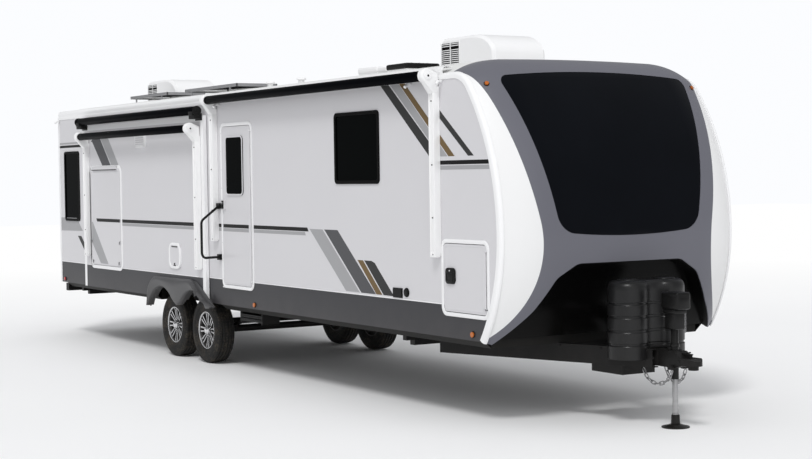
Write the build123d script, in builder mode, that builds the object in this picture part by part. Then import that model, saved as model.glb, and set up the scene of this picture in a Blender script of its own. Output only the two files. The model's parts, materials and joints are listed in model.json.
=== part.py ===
from build123d import *
import os
from math import acos, asin, atan2, cos, degrees, radians, sin, sqrt, tan

os.makedirs("parts", exist_ok=True)

# A laminated travel trailer on two axles, with one slide-out room on its curb side.
# Fore runs forward from the middle of the two axles, left from the centre line and up from the
# ground. The origin of the model itself is the centre of the ball socket in the coupler.
axle_to_coupler = 7060
coupler_height = 500
datum = (-axle_to_coupler, 0, -coupler_height)
side = Plane(origin=datum, x_dir=(1, 0, 0), z_dir=(0, -1, 0))
plan = Plane(origin=datum, x_dir=(1, 0, 0), z_dir=(0, 0, 1))
cross = Plane(origin=datum, x_dir=(0, 1, 0), z_dir=(1, 0, 0))


def at(fore, left, up):
    """A place of the trailer in the model's own frame."""
    return (datum[0] + fore, datum[1] + left, datum[2] + up)


# Body
half_width = 1219
wall = 45
rear_x = -3950
eave = 2840
sill = 684
band_top = 952
floor_top = 905
floor_depth = 60
belly_bottom = 618
belly_skin = 6
gap = 0.3
seam = 5

# The side walls' front edge: a corner arc, then two arcs that meet at its foremost point
apex_x = 6180
apex_up = 1520
upper_radius = 2000
lower_radius = 1500
corner_radius = 260
roof_end_x = 5480

# Cross-section shared by the roof and the nose: its rise above the walls' edge
crown_rise = 150
shoulder_rise = 140
shoulder_left = 750
edge_rise = 20
edge_left = 1190
cap_skin = 25

corner_up = eave - corner_radius
corner_x = apex_x - upper_radius + sqrt((upper_radius - corner_radius) ** 2 - (corner_up - apex_up) ** 2)
corner_angle = degrees(atan2(corner_up - apex_up, corner_x - (apex_x - upper_radius)))
sill_angle = degrees(asin((apex_up - sill) / lower_radius))
sill_x = apex_x - lower_radius + lower_radius * cos(radians(sill_angle))

# Slide-out room on the curb side
slide_rear = -2865
slide_front = 665
slide_floor = 912
slide_top = 2640
slide_depth = 980
slide_skin = 40
slide_proud = 45
slide_travel = 850
slide_clear = 12
flange_width = 75
flange_thick = 24
flange_top = 2700
skirt_thick = 26

# Entrance door
door_rear = 1075
door_front = 1825
door_bottom = 868
door_top = 2600
door_lip = 25
door_corner = 80
jamb = 10
leaf_thick = 38
leaf_proud = 9
hinge_clear = 8
hinge_radius = 5
pin_radius = 2.5
pin_play = 0.05
ear_half = 4
ear_long = 12
ear_play = 1

# Wheels, axles and springs
axle_half_spacing = 428
track_half = 1045
tyre_radius = 359
tyre_width = 214
rim_radius = 204
rim_half = 84
barrel_thick = 12
hub_radius = 62
drum_radius = 140
spindle_radius = 20
running_fit = 0.05
axle_tube_radius = 38
spring_left = 800
rail_bottom = belly_bottom + belly_skin
rail_height = floor_top - floor_depth - rail_bottom
rail_flange = 76
rail_web = 8

# Drawbar, coupler and jack
drawbar_rear = 4700
drawbar_depth = 150
drawbar_bottom = belly_bottom - drawbar_depth
drawbar_width = 64
drawbar_tip = 6700
ball_radius = 29.4
socket_wall = 12
jack_x = 6845
jack_foot_radius = 120
jack_tube_radius = 29
jack_inner_radius = 23


def nose_edge(end_x):
    """The side walls' top and front edge, from a station on the roof down to the sill."""
    Line((end_x, eave), (corner_x, eave))
    CenterArc((corner_x, corner_up), corner_radius, 90, corner_angle - 90)
    CenterArc((apex_x - upper_radius, apex_up), upper_radius, corner_angle, -corner_angle)
    CenterArc((apex_x - lower_radius, apex_up), lower_radius, 0, -sill_angle)


def wall_face():
    """The whole outline of a side wall."""
    with BuildLine() as outline:
        nose_edge(rear_x)
        Polyline((sill_x, sill), (rear_x, sill), (rear_x, eave))
    make_face(outline.edges())


def panel(low_fore, low_up, high_fore, high_up, radius=0, mode=Mode.ADD):
    """A rectangle given by two corners, with rounded corners if a radius is given."""
    with Locations(((low_fore + high_fore) / 2, (low_up + high_up) / 2)):
        if radius:
            RectangleRounded(high_fore - low_fore, high_up - low_up, radius, mode=mode)
        else:
            Rectangle(high_fore - low_fore, high_up - low_up, mode=mode)


def block(low, high, mode=Mode.ADD):
    """A box between two places given as fore, left and up."""
    middle = [(a + b) / 2 for a, b in zip(low, high)]
    with Locations(at(*middle)):
        Box(*[abs(b - a) for a, b in zip(low, high)], mode=mode)


def crown_radius(rise, half):
    """Radius of an arc that rises by the given amount over half its span."""
    return (half * half + rise * rise) / (2 * rise)


# The nose and roof section: a shallow crown between two shoulder arcs
shoulder_run = edge_left - shoulder_left
shoulder_radius = crown_radius(shoulder_rise - edge_rise, shoulder_run)
shoulder_centre = shoulder_rise - shoulder_radius


def crown_line(depth):
    """The crowned line of the section at a depth below its skin; gives its half width at the foot."""
    radius = shoulder_radius - depth
    turn = degrees(asin(shoulder_run / radius)) if depth == 0 else degrees(acos(-shoulder_centre / radius))
    CenterArc((shoulder_left, shoulder_centre), radius, 90, -turn)
    CenterArc((-shoulder_left, shoulder_centre), radius, 90, turn)
    ThreePointArc(
        (-shoulder_left, shoulder_rise - depth),
        (0, crown_rise - depth),
        (shoulder_left, shoulder_rise - depth),
    )
    return shoulder_left + radius * sin(radians(turn))


section = Plane(origin=at(roof_end_x, 0, eave), x_dir=(0, 1, 0), z_dir=(1, 0, 0))

with BuildLine(side) as nose_path:
    nose_edge(roof_end_x)

with BuildLine(side) as eave_path:
    nose_edge(rear_x)


def nose_shell(outer, inner):
    """The nose's skin between two depths below its outer face."""
    with BuildSketch(section) as profile:
        with BuildLine():
            outer_end = crown_line(outer)
            inner_end = crown_line(inner)
            rise = edge_rise if outer == 0 else 0
            for s in (1, -1):
                corners = [(s * inner_end, 0), (s * outer_end, 0), (s * outer_end, rise)]
                Polyline(*corners[: 3 if rise else 2])
        make_face()
    sweep(profile.sketch, path=nose_path.wires()[0])


# Paint line between the nose's grey middle and its white flanks, seen from the front
flank_low = 880
flank_low_up = 1450
flank_foot_up = 560
flank_radius = 1030
flank_lean = 11.7
flank_lean_top = 2640
flank_top_radius = 800
flank_top_turn = 40

nose_view = cross.offset(roof_end_x - 100)
nose_reach = apex_x - roof_end_x + 500


def flank_region():
    """The two regions outside the paint line, as seen from the front."""
    low_angle = degrees(asin((flank_low_up - flank_foot_up) / flank_radius))
    with BuildSketch(nose_view) as region:
        with BuildLine():
            lower = CenterArc((flank_low + flank_radius, flank_low_up), flank_radius, 180 + low_angle,
                              -low_angle - flank_lean)
            start = lower @ 1
            end = (start.X + (flank_lean_top - start.Y) * tan(radians(flank_lean)), flank_lean_top)
            Line(start, end)
            lean_x = flank_top_radius * cos(radians(flank_lean))
            lean_y = flank_top_radius * sin(radians(flank_lean))
            upper = CenterArc((end[0] + lean_x, end[1] - lean_y), flank_top_radius, 180 - flank_lean,
                              -flank_top_turn)
            outside = 2 * half_width
            Polyline(upper @ 1, (outside, (upper @ 1).Y), (outside, flank_foot_up), lower @ 0)
        make_face()
        mirror(about=Plane.YZ)
    return region.sketch


# Dark panel in the nose
glass_inset = 3
glass_thick = 8
glass_bottom = 1516
glass_top = 2872
glass_bottom_half = 715
glass_top_half = 985
glass_top_arch = 48
glass_bottom_arch = 42
glass_low_corner = 190
glass_high_corner = 70


def glass_outline(clear):
    """The dark panel's outline from the front, drawn in by a clearance."""
    with BuildSketch(nose_view) as outline:
        with BuildLine():
            top = glass_top - clear
            bottom = glass_bottom + clear
            high = (glass_top_half - clear, top - glass_top_arch)
            low = (glass_bottom_half - clear, bottom + glass_bottom_arch)
            ThreePointArc((-high[0], high[1]), (0, top), high)
            Line(high, low)
            ThreePointArc(low, (0, bottom), (-low[0], low[1]))
            Line((-low[0], low[1]), (-high[0], high[1]))
        make_face()
        fillet(outline.vertices().sort_by(Axis.Y)[:2], radius=glass_low_corner)
        fillet(outline.vertices().sort_by(Axis.Y)[-2:], radius=glass_high_corner)
    return outline.sketch


# Recess of the nose behind the gas bottles, open at its foot
recess_top = 1302
recess_shoulder_up = 1190
recess_half = 540
recess_shoulder = 735
recess_knee = 910
recess_knee_up = 925
recess_foot_up = 400
recess_flare = 0.9
recess_corner = 150
recess_knee_round = 500
recess_skin = 8
recess_back = 20


def recess_outline(spread):
    """The recess's outline from the front, drawn out by a margin."""
    shoulder = recess_shoulder + spread
    knee = recess_knee + spread
    low = knee + recess_flare * (recess_knee_up - recess_foot_up)
    with BuildSketch(nose_view) as outline:
        with BuildLine():
            Polyline(
                (-(recess_half + spread), recess_top + spread), (recess_half + spread, recess_top + spread),
                (shoulder, recess_shoulder_up), (knee, recess_knee_up), (low, recess_foot_up),
                (-low, recess_foot_up), (-knee, recess_knee_up), (-shoulder, recess_shoulder_up), close=True,
            )
        make_face()
        fillet(outline.vertices().sort_by(Axis.Y)[-4:], radius=recess_corner)
        fillet(outline.vertices().sort_by(Axis.Y)[2:4], radius=recess_knee_round)
    return outline.sketch


# Windows: low fore, low up, high fore, high up
curb_windows = [
    (-3722, 1515, -3209, 2375),
    (3573, 1976, 4340, 2588),
]
road_windows = [
    (-3050, 1900, -2050, 2500),
    (-600, 1976, 400, 2588),
    (3573, 1976, 4340, 2588),
]
rear_window = (-450, 1700, 450, 2350)
window_corner = 25
window_lip = 20
window_rebate = 12
pane_thick = 8
frame_proud = 10
baggage = (5380, 897, 6010, 1466)
baggage_corner = 40

# Wheel arches, and the fender round them
arch_radius = 430
arch_up = 374
arch_shift = 30
arch_clear = 8
fender_thick = 12
fender_return = 6
fender_depth = 48


def arch_openings(radius, mode=Mode.SUBTRACT):
    """The two wheel openings in the current side view."""
    for s in (-1, 1):
        with Locations((s * axle_half_spacing + arch_shift, arch_up)):
            Circle(radius, mode=mode)


baggage_hinge_x = baggage[2] - 7
baggage_hinge_left = half_width + hinge_clear + hinge_radius
baggage_hinge_low = baggage[1] + 60
baggage_hinge_high = baggage[3] - 60


def baggage_pin(s):
    """The fixed pin of a baggage door's hinge, carried by an ear at each end."""
    with BuildSketch(plan.offset(baggage_hinge_low - ear_play)) as pin:
        with Locations((baggage_hinge_x, s * baggage_hinge_left)):
            Circle(pin_radius)
    extrude(pin.sketch, amount=baggage_hinge_high - baggage_hinge_low + 2 * ear_play)
    for up in (baggage_hinge_low - ear_play - ear_long, baggage_hinge_high + ear_play):
        block((baggage_hinge_x - 2.5, s * (baggage_hinge_left - ear_half), up),
              (baggage[2] + 12, s * (baggage_hinge_left + ear_half), up + ear_long))
        block((baggage[2] + 1, s * half_width, up), (baggage[2] + 12, s * baggage_hinge_left, up + ear_long))


with BuildPart() as curb_wall:
    with BuildSketch(side.offset(half_width)):
        wall_face()
        panel(slide_rear - slide_clear, sill - 50, slide_front + slide_clear, slide_top + slide_clear,
              mode=Mode.SUBTRACT)
        panel(door_rear + door_lip, door_bottom + door_lip, door_front - door_lip, door_top - door_lip,
              door_corner - door_lip, mode=Mode.SUBTRACT)
        panel(*baggage, baggage_corner, mode=Mode.SUBTRACT)
        for window in curb_windows:
            panel(*window, window_corner, mode=Mode.SUBTRACT)
        arch_openings(arch_radius + arch_clear)
    extrude(amount=-wall)
    baggage_pin(-1)
curb_wall.part.label = "curb_wall"
export_step(curb_wall.part, "parts/curb_wall.step")

with BuildPart() as road_wall:
    with BuildSketch(side.offset(-half_width)):
        wall_face()
        arch_openings(arch_radius + arch_clear)
        panel(*baggage, baggage_corner, mode=Mode.SUBTRACT)
        for window in road_windows:
            panel(*window, window_corner, mode=Mode.SUBTRACT)
    extrude(amount=wall)
    baggage_pin(1)
road_wall.part.label = "road_wall"
export_step(road_wall.part, "parts/road_wall.step")

inner_half = half_width - wall

with BuildPart() as rear_wall:
    with BuildSketch(cross.offset(rear_x)):
        panel(-inner_half, sill, inner_half, eave)
        panel(*rear_window, window_corner, mode=Mode.SUBTRACT)
    extrude(amount=wall)
rear_wall.part.label = "rear_wall"
export_step(rear_wall.part, "parts/rear_wall.step")

with BuildPart() as roof:
    with BuildSketch(section.offset(rear_x - roof_end_x)):
        with BuildLine():
            crown_line(0)
            Polyline((edge_left, edge_rise), (edge_left, 0), (-edge_left, 0), (-edge_left, edge_rise))
        make_face()
    extrude(amount=roof_end_x - rear_x)
roof.part.label = "roof"
export_step(roof.part, "parts/roof.step")

# Nose: one crowned section carried round the walls' front edge, divided at its paint lines
with BuildPart() as nose_cap:
    nose_shell(0, cap_skin)
    extrude(flank_region(), amount=nose_reach, mode=Mode.SUBTRACT)
    extrude(glass_outline(0), amount=nose_reach, mode=Mode.SUBTRACT)
    extrude(recess_outline(0), amount=nose_reach, mode=Mode.SUBTRACT)
nose_cap.part.label = "nose_cap"
export_step(nose_cap.part, "parts/nose_cap.step")

with BuildPart() as nose_flanks:
    nose_shell(0, cap_skin)
    extrude(flank_region(), amount=nose_reach, mode=Mode.INTERSECT)
    extrude(recess_outline(0), amount=nose_reach, mode=Mode.SUBTRACT)
nose_flanks.part.label = "nose_flanks"
export_step(nose_flanks.part, "parts/nose_flanks.step")

with BuildPart() as nose_glass:
    nose_shell(glass_inset, glass_inset + glass_thick)
    extrude(glass_outline(gap), amount=nose_reach, mode=Mode.INTERSECT)
nose_glass.part.label = "nose_glass"
export_step(nose_glass.part, "parts/nose_glass.step")

above_skin = 200

with BuildPart() as recess_hollow:
    with BuildSketch(section) as hollow_profile:
        panel(-half_width, recess_skin - recess_back, half_width, above_skin)
    sweep(hollow_profile.sketch, path=nose_path.wires()[0])
    extrude(recess_outline(-gap - recess_skin), amount=nose_reach, mode=Mode.INTERSECT)

with BuildPart() as outside_nose:
    with BuildSketch(section) as outside_profile:
        with BuildLine():
            skin_end = crown_line(recess_skin)
            Polyline((skin_end, 0), (half_width, 0), (half_width, 2 * above_skin), (-half_width, 2 * above_skin),
                     (-half_width, 0), (-skin_end, 0))
        make_face()
    sweep(outside_profile.sketch, path=nose_path.wires()[0])

with BuildPart() as nose_recess:
    with BuildSketch(section) as recess_profile:
        panel(-inner_half + gap, -recess_back, inner_half - gap, above_skin)
    sweep(recess_profile.sketch, path=nose_path.wires()[0])
    extrude(recess_outline(-gap), amount=nose_reach, mode=Mode.INTERSECT)
    add(recess_hollow.part, mode=Mode.SUBTRACT)
    add(outside_nose.part, mode=Mode.SUBTRACT)
nose_recess.part.label = "nose_recess"
export_step(nose_recess.part, "parts/nose_recess.step")

# Mouldings along the eaves, round the nose and down the rear corners
trim_radius = 30
trim_proud = 6
trim_lap = 25
corner_lap = 38
trim_left = half_width + trim_proud

with BuildPart() as edge_trims:
    with BuildSketch(section.offset(rear_x - roof_end_x)) as trim_profile:
        with BuildLine():
            Polyline((trim_left - trim_radius, trim_radius), (edge_left + gap, trim_radius),
                     (edge_left + gap, gap), (half_width + gap, gap), (half_width + gap, -trim_lap),
                     (trim_left, -trim_lap), (trim_left, 0))
            CenterArc((trim_left - trim_radius, 0), trim_radius, 0, 90)
        make_face()
        mirror(about=Plane.YZ)
    sweep(trim_profile.sketch, path=eave_path.wires()[0])
    for s in (-1, 1):
        with BuildSketch(plan.offset(sill)):
            with BuildLine():
                Polyline(
                    (rear_x - trim_proud, s * (half_width - corner_lap)), (rear_x - trim_proud, s * trim_left),
                    (rear_x + corner_lap, s * trim_left), (rear_x + corner_lap, s * (half_width + gap)),
                    (rear_x - gap, s * (half_width + gap)), (rear_x - gap, s * (half_width - corner_lap)),
                    close=True,
                )
            make_face()
        extrude(amount=eave - trim_lap - gap - sill)
edge_trims.part.label = "edge_trims"
export_step(edge_trims.part, "parts/edge_trims.step")


def window_frame(low_x, low_up, high_x, high_up):
    """A window's frame in the current view, from its lip to its rebate."""
    panel(low_x - window_lip, low_up - window_lip, high_x + window_lip, high_up + window_lip,
          window_corner + window_lip)
    panel(low_x + window_rebate, low_up + window_rebate, high_x - window_rebate, high_up - window_rebate,
          window_corner, mode=Mode.SUBTRACT)


def window_pane(low_x, low_up, high_x, high_up):
    """A window's pane in the current view."""
    panel(low_x + gap, low_up + gap, high_x - gap, high_up - gap, window_corner - gap)


with BuildPart() as window_frames:
    for out, openings in ((1, curb_windows), (-1, road_windows)):
        for window in openings:
            with BuildSketch(side.offset(out * (half_width + gap))):
                window_frame(*window)
            extrude(amount=out * frame_proud)
    with BuildSketch(cross.offset(rear_x - gap)):
        window_frame(*rear_window)
    extrude(amount=-frame_proud)
window_frames.part.label = "window_frames"
export_step(window_frames.part, "parts/window_frames.step")

with BuildPart() as window_panes:
    for out, openings in ((1, curb_windows), (-1, road_windows)):
        with BuildSketch(side.offset(out * half_width)):
            for window in openings:
                window_pane(*window)
        extrude(amount=-out * pane_thick)
    with BuildSketch(cross.offset(rear_x)):
        window_pane(*rear_window)
    extrude(amount=pane_thick)
window_panes.part.label = "window_panes"
export_step(window_panes.part, "parts/window_panes.step")

# Floor, underbelly and storage
deck_front = 5985
belly_front = 5866
belly_shoulder = 1090
belly_lip_up = sill + 6
belly_half = inner_half - gap
well_half = axle_half_spacing + arch_radius + 30
well_left = 845
well_skin = 4
storage_rear = 5300
storage_front = 6080
storage_top = 1520
partition = 18

runner_places = (-2700, -1500, -300, 480)
runner_size = 64
runner_play = 0.1

with BuildPart() as floor_deck:
    block((rear_x + wall, -inner_half, floor_top - floor_depth), (deck_front, inner_half, floor_top))
    for fore in runner_places:
        block((fore, -inner_half, floor_top), (fore + runner_size, runner_size - inner_half, slide_floor - runner_play))
floor_deck.part.label = "floor_deck"
export_step(floor_deck.part, "parts/floor_deck.step")

with BuildPart() as underbelly:
    with BuildSketch(cross.offset(rear_x + wall + gap)):
        with BuildLine():
            Polyline(
                (-belly_half, belly_lip_up), (-belly_shoulder, belly_bottom), (belly_shoulder, belly_bottom),
                (belly_half, belly_lip_up), (belly_half - belly_skin, belly_lip_up),
                (belly_shoulder - belly_skin, belly_bottom + belly_skin),
                (belly_skin - belly_shoulder, belly_bottom + belly_skin),
                (belly_skin - belly_half, belly_lip_up), close=True,
            )
        make_face()
    extrude(amount=belly_front - rear_x - wall - gap)
    block((belly_front - well_skin, -belly_shoulder, belly_bottom),
          (belly_front, belly_shoulder, floor_top - floor_depth))
    for s in (-1, 1):
        block((-well_half, s * well_left, belly_bottom - 50), (well_half, s * (half_width + 50), sill + 100),
              mode=Mode.SUBTRACT)
        block((-well_half, s * well_left, belly_bottom), (well_half, s * (well_left + well_skin),
              floor_top - floor_depth))
        for end in (-1, 1):
            block((end * well_half, s * well_left, belly_bottom),
                  (end * (well_half + well_skin), s * belly_shoulder, floor_top - floor_depth))
underbelly.part.label = "underbelly"
export_step(underbelly.part, "parts/underbelly.step")

with BuildPart() as storage_bay:
    block((storage_rear, -inner_half, floor_top), (storage_rear + partition, inner_half, eave))
    block((storage_rear, -inner_half, storage_top), (storage_front, inner_half, storage_top + partition))
storage_bay.part.label = "storage_bay"
export_step(storage_bay.part, "parts/storage_bay.step")

# Entrance: frame, leaf, window and lock
frame_inside = door_lip + jamb
leaf_low = (door_rear + frame_inside + seam, door_bottom + frame_inside + seam)
leaf_high = (door_front - frame_inside - seam, door_top - frame_inside - seam)
leaf_out = half_width + leaf_proud
knuckle_x = leaf_high[0] + 13
knuckle_left = half_width + trim_proud + hinge_clear + hinge_radius
strap_thick = 4
lock = (1129, 1690, 1195, 1800)
lock_proud = 22
entry_pane = (1237, 1860, 1613, 2445)
entry_pane_corner = 35
bezel_lap = 16
bezel_proud = 8

entry_hinge_low = leaf_low[1] + 60
entry_hinge_high = leaf_high[1] - 60

with BuildPart() as entry_frame:
    for outer_lip, depth in ((0, trim_proud), (door_lip + gap, -wall)):
        with BuildSketch(side.offset(half_width + gap)):
            panel(door_rear + outer_lip, door_bottom + outer_lip, door_front - outer_lip, door_top - outer_lip,
                  door_corner - outer_lip)
            panel(door_rear + frame_inside, door_bottom + frame_inside, door_front - frame_inside,
                  door_top - frame_inside, door_corner - frame_inside, mode=Mode.SUBTRACT)
        extrude(amount=depth)
    with BuildSketch(plan.offset(entry_hinge_low - ear_play)):
        with Locations((knuckle_x, -knuckle_left)):
            Circle(pin_radius)
    extrude(amount=entry_hinge_high - entry_hinge_low + 2 * ear_play)
    for up in (entry_hinge_low - ear_play - ear_long, entry_hinge_high + ear_play):
        block((knuckle_x - ear_half, -half_width - trim_proud, up),
              (knuckle_x + ear_half, -knuckle_left - ear_half, up + ear_long))
entry_frame.part.label = "entry_frame"
export_step(entry_frame.part, "parts/entry_frame.step")

with BuildPart() as entry_door:
    with BuildSketch(side.offset(leaf_out)):
        panel(*leaf_low, *leaf_high, 40)
        panel(*entry_pane, entry_pane_corner, mode=Mode.SUBTRACT)
    extrude(amount=-leaf_thick)
    with BuildSketch(plan.offset(entry_hinge_low)):
        with Locations((knuckle_x, -knuckle_left)):
            Circle(hinge_radius)
        panel(leaf_high[0] - 25, -knuckle_left - strap_thick / 2, leaf_high[0], -leaf_out)
        panel(leaf_high[0], -knuckle_left - strap_thick / 2, knuckle_x, -knuckle_left + strap_thick / 2)
        with Locations((knuckle_x, -knuckle_left)):
            Circle(pin_radius + pin_play, mode=Mode.SUBTRACT)
    extrude(amount=entry_hinge_high - entry_hinge_low)
    with BuildSketch(side.offset(leaf_out)):
        panel(*lock, 12)
    extrude(amount=lock_proud)
entry_door.part.label = "entry_door"
export_step(entry_door.part, "parts/entry_door.step")

with BuildPart() as entry_window:
    low_x, low_up, high_x, high_up = entry_pane
    with BuildSketch(side.offset(leaf_out + gap)):
        panel(low_x - bezel_lap, low_up - bezel_lap, high_x + bezel_lap, high_up + bezel_lap,
              entry_pane_corner + bezel_lap)
    extrude(amount=bezel_proud)
    with BuildSketch(side.offset(leaf_out + gap)):
        panel(low_x + gap, low_up + gap, high_x - gap, high_up - gap, entry_pane_corner - gap)
    extrude(amount=-pane_thick)
entry_window.part.label = "entry_window"
export_step(entry_window.part, "parts/entry_window.step")

# Grab handle beside the entrance, swung out for use
handle_x = 1037
handle_low_up = 1190
handle_high_up = 1730
handle_reach = 260
handle_angle = 70
handle_radius = 13
handle_mount = 60
handle_mount_proud = 34

with BuildPart() as entry_handle:
    for up in (handle_low_up, handle_high_up):
        block((handle_x - handle_mount / 2, -half_width, up - handle_mount / 2),
              (handle_x + handle_mount / 2, -half_width - handle_mount_proud, up + handle_mount / 2))
    swing = Plane(origin=at(handle_x, -half_width - handle_mount_proud / 2, 0),
                  x_dir=(cos(radians(handle_angle)), -sin(radians(handle_angle)), 0),
                  z_dir=(-sin(radians(handle_angle)), -cos(radians(handle_angle)), 0))
    with BuildLine(swing) as handle_line:
        FilletPolyline((0, handle_low_up), (handle_reach, handle_low_up), (handle_reach, handle_high_up - 150),
                       (0, handle_high_up), radius=60)
    with BuildSketch(Plane(origin=handle_line.line @ 0, z_dir=handle_line.line % 0)) as handle_section:
        RegularPolygon(handle_radius, 8)
    sweep(handle_section.sketch, path=handle_line.wires()[0])
entry_handle.part.label = "entry_handle"
export_step(entry_handle.part, "parts/entry_handle.step")

# Slide-out room
face_left = half_width + slide_proud
wall_clear = 7
bay_skin = 12
bay_depth = 420
kitchen = (-2680, slide_floor + slide_skin + bay_skin, -1685, 2182)
kitchen_corner = 60
kitchen_proud = 3
kitchen_hinge_up = kitchen[3] + 4
kitchen_hinge_left = face_left + hinge_clear + hinge_radius
kitchen_hinge_rear = kitchen[0] + 80
kitchen_hinge_front = kitchen[2] - 80
flange_rear = slide_rear - flange_width
flange_front = slide_front + flange_width

with BuildPart() as slide_room:
    block((slide_rear, -face_left, slide_floor), (slide_front, slide_depth - face_left, slide_top))
    block((slide_rear + slide_skin, slide_skin - face_left, slide_floor + slide_skin),
          (slide_front - slide_skin, slide_depth - face_left + 50, slide_top - slide_skin), mode=Mode.SUBTRACT)
    with BuildSketch(side.offset(face_left)):
        panel(*kitchen, kitchen_corner)
    extrude(amount=-slide_skin, mode=Mode.SUBTRACT)
    with BuildSketch(cross.offset(kitchen_hinge_rear - ear_play)):
        with Locations((-kitchen_hinge_left, kitchen_hinge_up)):
            Circle(pin_radius)
    extrude(amount=kitchen_hinge_front - kitchen_hinge_rear + 2 * ear_play)
    for fore in (kitchen_hinge_rear - ear_play - ear_long, kitchen_hinge_front + ear_play):
        block((fore, -face_left, kitchen_hinge_up - ear_half),
              (fore + ear_long, -kitchen_hinge_left - ear_half, kitchen_hinge_up + 2 * ear_half))
slide_room.part.label = "slide_room"
export_step(slide_room.part, "parts/slide_room.step")

with BuildPart() as slide_flange:
    for outer_lip, depth in ((0, flange_thick), (flange_width - 10, slide_proud - wall_clear)):
        with BuildSketch(side.offset(face_left)):
            panel(flange_rear, sill, flange_front, flange_top)
            panel(slide_rear - gap - outer_lip, sill - 50, slide_front + gap + outer_lip,
                  slide_top + gap + outer_lip * (flange_top - slide_top - 10) / (flange_width - 10),
                  mode=Mode.SUBTRACT)
            arch_openings(arch_radius + arch_clear)
        extrude(amount=-depth)
slide_flange.part.label = "slide_flange"
export_step(slide_flange.part, "parts/slide_flange.step")

with BuildPart() as slide_skirt:
    with BuildSketch(side.offset(face_left)):
        panel(slide_rear, sill, slide_front, slide_floor)
        arch_openings(arch_radius + arch_clear)
    extrude(amount=-skirt_thick)
slide_skirt.part.label = "slide_skirt"
export_step(slide_skirt.part, "parts/slide_skirt.step")

fender_foot = (-800, 560)
fender_rear_top = (-745, 905)
fender_front_top = (520, 905)
fender_end = (960, 655)
fender_web_up = 640


def fender(out, wall_left, return_end):
    """A double-arched fender on a side's face, with its edge returned inwards round each wheel."""
    with BuildSketch(side.offset(out * (wall_left + gap))) as face:
        with BuildLine():
            top = FilletPolyline(fender_foot, fender_rear_top, fender_front_top, fender_end, radius=230)
            Polyline(top @ 1, (fender_end[0] - 60, fender_end[1] - 15), (fender_end[0] - 60, fender_foot[1]),
                     fender_foot)
        make_face()
        arch_openings(arch_radius)
        panel(-axle_half_spacing + arch_shift, 0, axle_half_spacing + arch_shift, fender_web_up,
              mode=Mode.SUBTRACT)
        panel(axle_half_spacing + arch_shift, 0, fender_end[0] + 100, fender_web_up, mode=Mode.SUBTRACT)
    extrude(face.sketch, amount=out * fender_thick)
    with BuildSketch(side.offset(out * (wall_left + gap))) as edge:
        arch_openings(arch_radius + fender_return, mode=Mode.ADD)
        arch_openings(arch_radius)
        panel(-3 * arch_radius, arch_up - 2 * arch_radius, 3 * arch_radius, sill, mode=Mode.SUBTRACT)
        panel(return_end, sill, return_end + 2 * arch_radius, 2 * sill, mode=Mode.SUBTRACT)
    extrude(edge.sketch, amount=-out * fender_depth)


with BuildPart() as curb_fender:
    fender(1, face_left, slide_front - gap)
curb_fender.part.label = "curb_fender"
export_step(curb_fender.part, "parts/curb_fender.step")

with BuildPart() as road_fender:
    fender(-1, half_width, fender_end[0])
road_fender.part.label = "road_fender"
export_step(road_fender.part, "parts/road_fender.step")

with BuildPart() as kitchen_bay:
    block((kitchen[0] - bay_skin, slide_skin - face_left, kitchen[1] - bay_skin),
          (kitchen[2] + bay_skin, slide_skin + bay_depth - face_left, kitchen[3] + bay_skin))
    block((kitchen[0], slide_skin - face_left - 50, kitchen[1]),
          (kitchen[2], slide_skin + bay_depth - bay_skin - face_left, kitchen[3]), mode=Mode.SUBTRACT)
kitchen_bay.part.label = "kitchen_bay"
export_step(kitchen_bay.part, "parts/kitchen_bay.step")

with BuildPart() as kitchen_door:
    with BuildSketch(side.offset(face_left + kitchen_proud)):
        panel(kitchen[0] + seam, kitchen[1] + seam, kitchen[2] - seam, kitchen[3] - seam, kitchen_corner - seam)
    extrude(amount=-slide_skin - kitchen_proud)
    strap_out = -kitchen_hinge_left - strap_thick / 2
    with BuildSketch(cross.offset(kitchen_hinge_rear)):
        with Locations((-kitchen_hinge_left, kitchen_hinge_up)):
            Circle(hinge_radius)
        panel(strap_out, kitchen_hinge_up - 30, strap_out + strap_thick, kitchen_hinge_up)
        panel(strap_out, kitchen_hinge_up - 50, -face_left - kitchen_proud, kitchen_hinge_up - 20)
        with Locations((-kitchen_hinge_left, kitchen_hinge_up)):
            Circle(pin_radius + pin_play, mode=Mode.SUBTRACT)
    extrude(amount=kitchen_hinge_front - kitchen_hinge_rear)
kitchen_door.part.label = "kitchen_door"
export_step(kitchen_door.part, "parts/kitchen_door.step")

hatch = (-210, 1030, 85, 1300)
hood_vent = (-1125, 2400, -855, 2550)

with BuildPart() as slide_hatches:
    for cover, corner, proud in ((hatch, 20, 12), (hood_vent, 12, 28)):
        with BuildSketch(side.offset(face_left)):
            panel(*cover, corner)
        extrude(amount=proud)
slide_hatches.part.label = "slide_hatches"
export_step(slide_hatches.part, "parts/slide_hatches.step")


# Awnings
def awning_head(inner, low, roller_left, roller_up):
    """The drop-shaped cover over a roller's end, in the current view across the trailer."""
    with BuildLine() as outline:
        Polyline(
            (-inner, low), (-inner, roller_up + 20), (30 - roller_left, roller_up + 62),
            (-45 - roller_left, roller_up + 45), (-66 - roller_left, roller_up),
            (-45 - roller_left, roller_up - 45), (-inner - 66, low), close=True,
        )
    make_face(outline.edges())


awning_roller_radius = 43
main_arms = [(924, 1356), (5271, 1343)]
slide_arms = [(-2775, 1070), (590, 1040)]
main_arm_width = 75
slide_arm_width = 70
arm_proud = 66
main_roller = (1330, 2847)
slide_roller = (1380, 2600)
main_head_up = 2700
slide_head_up = 2450

with BuildPart() as main_awning_arms:
    for fore, low in main_arms:
        block((fore, -half_width, low), (fore + main_arm_width, -half_width - arm_proud, main_head_up))
        with BuildSketch(cross.offset(fore)):
            awning_head(trim_left + gap, main_head_up, *main_roller)
        extrude(amount=main_arm_width)
main_awning_arms.part.label = "main_awning_arms"
export_step(main_awning_arms.part, "parts/main_awning_arms.step")

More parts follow.
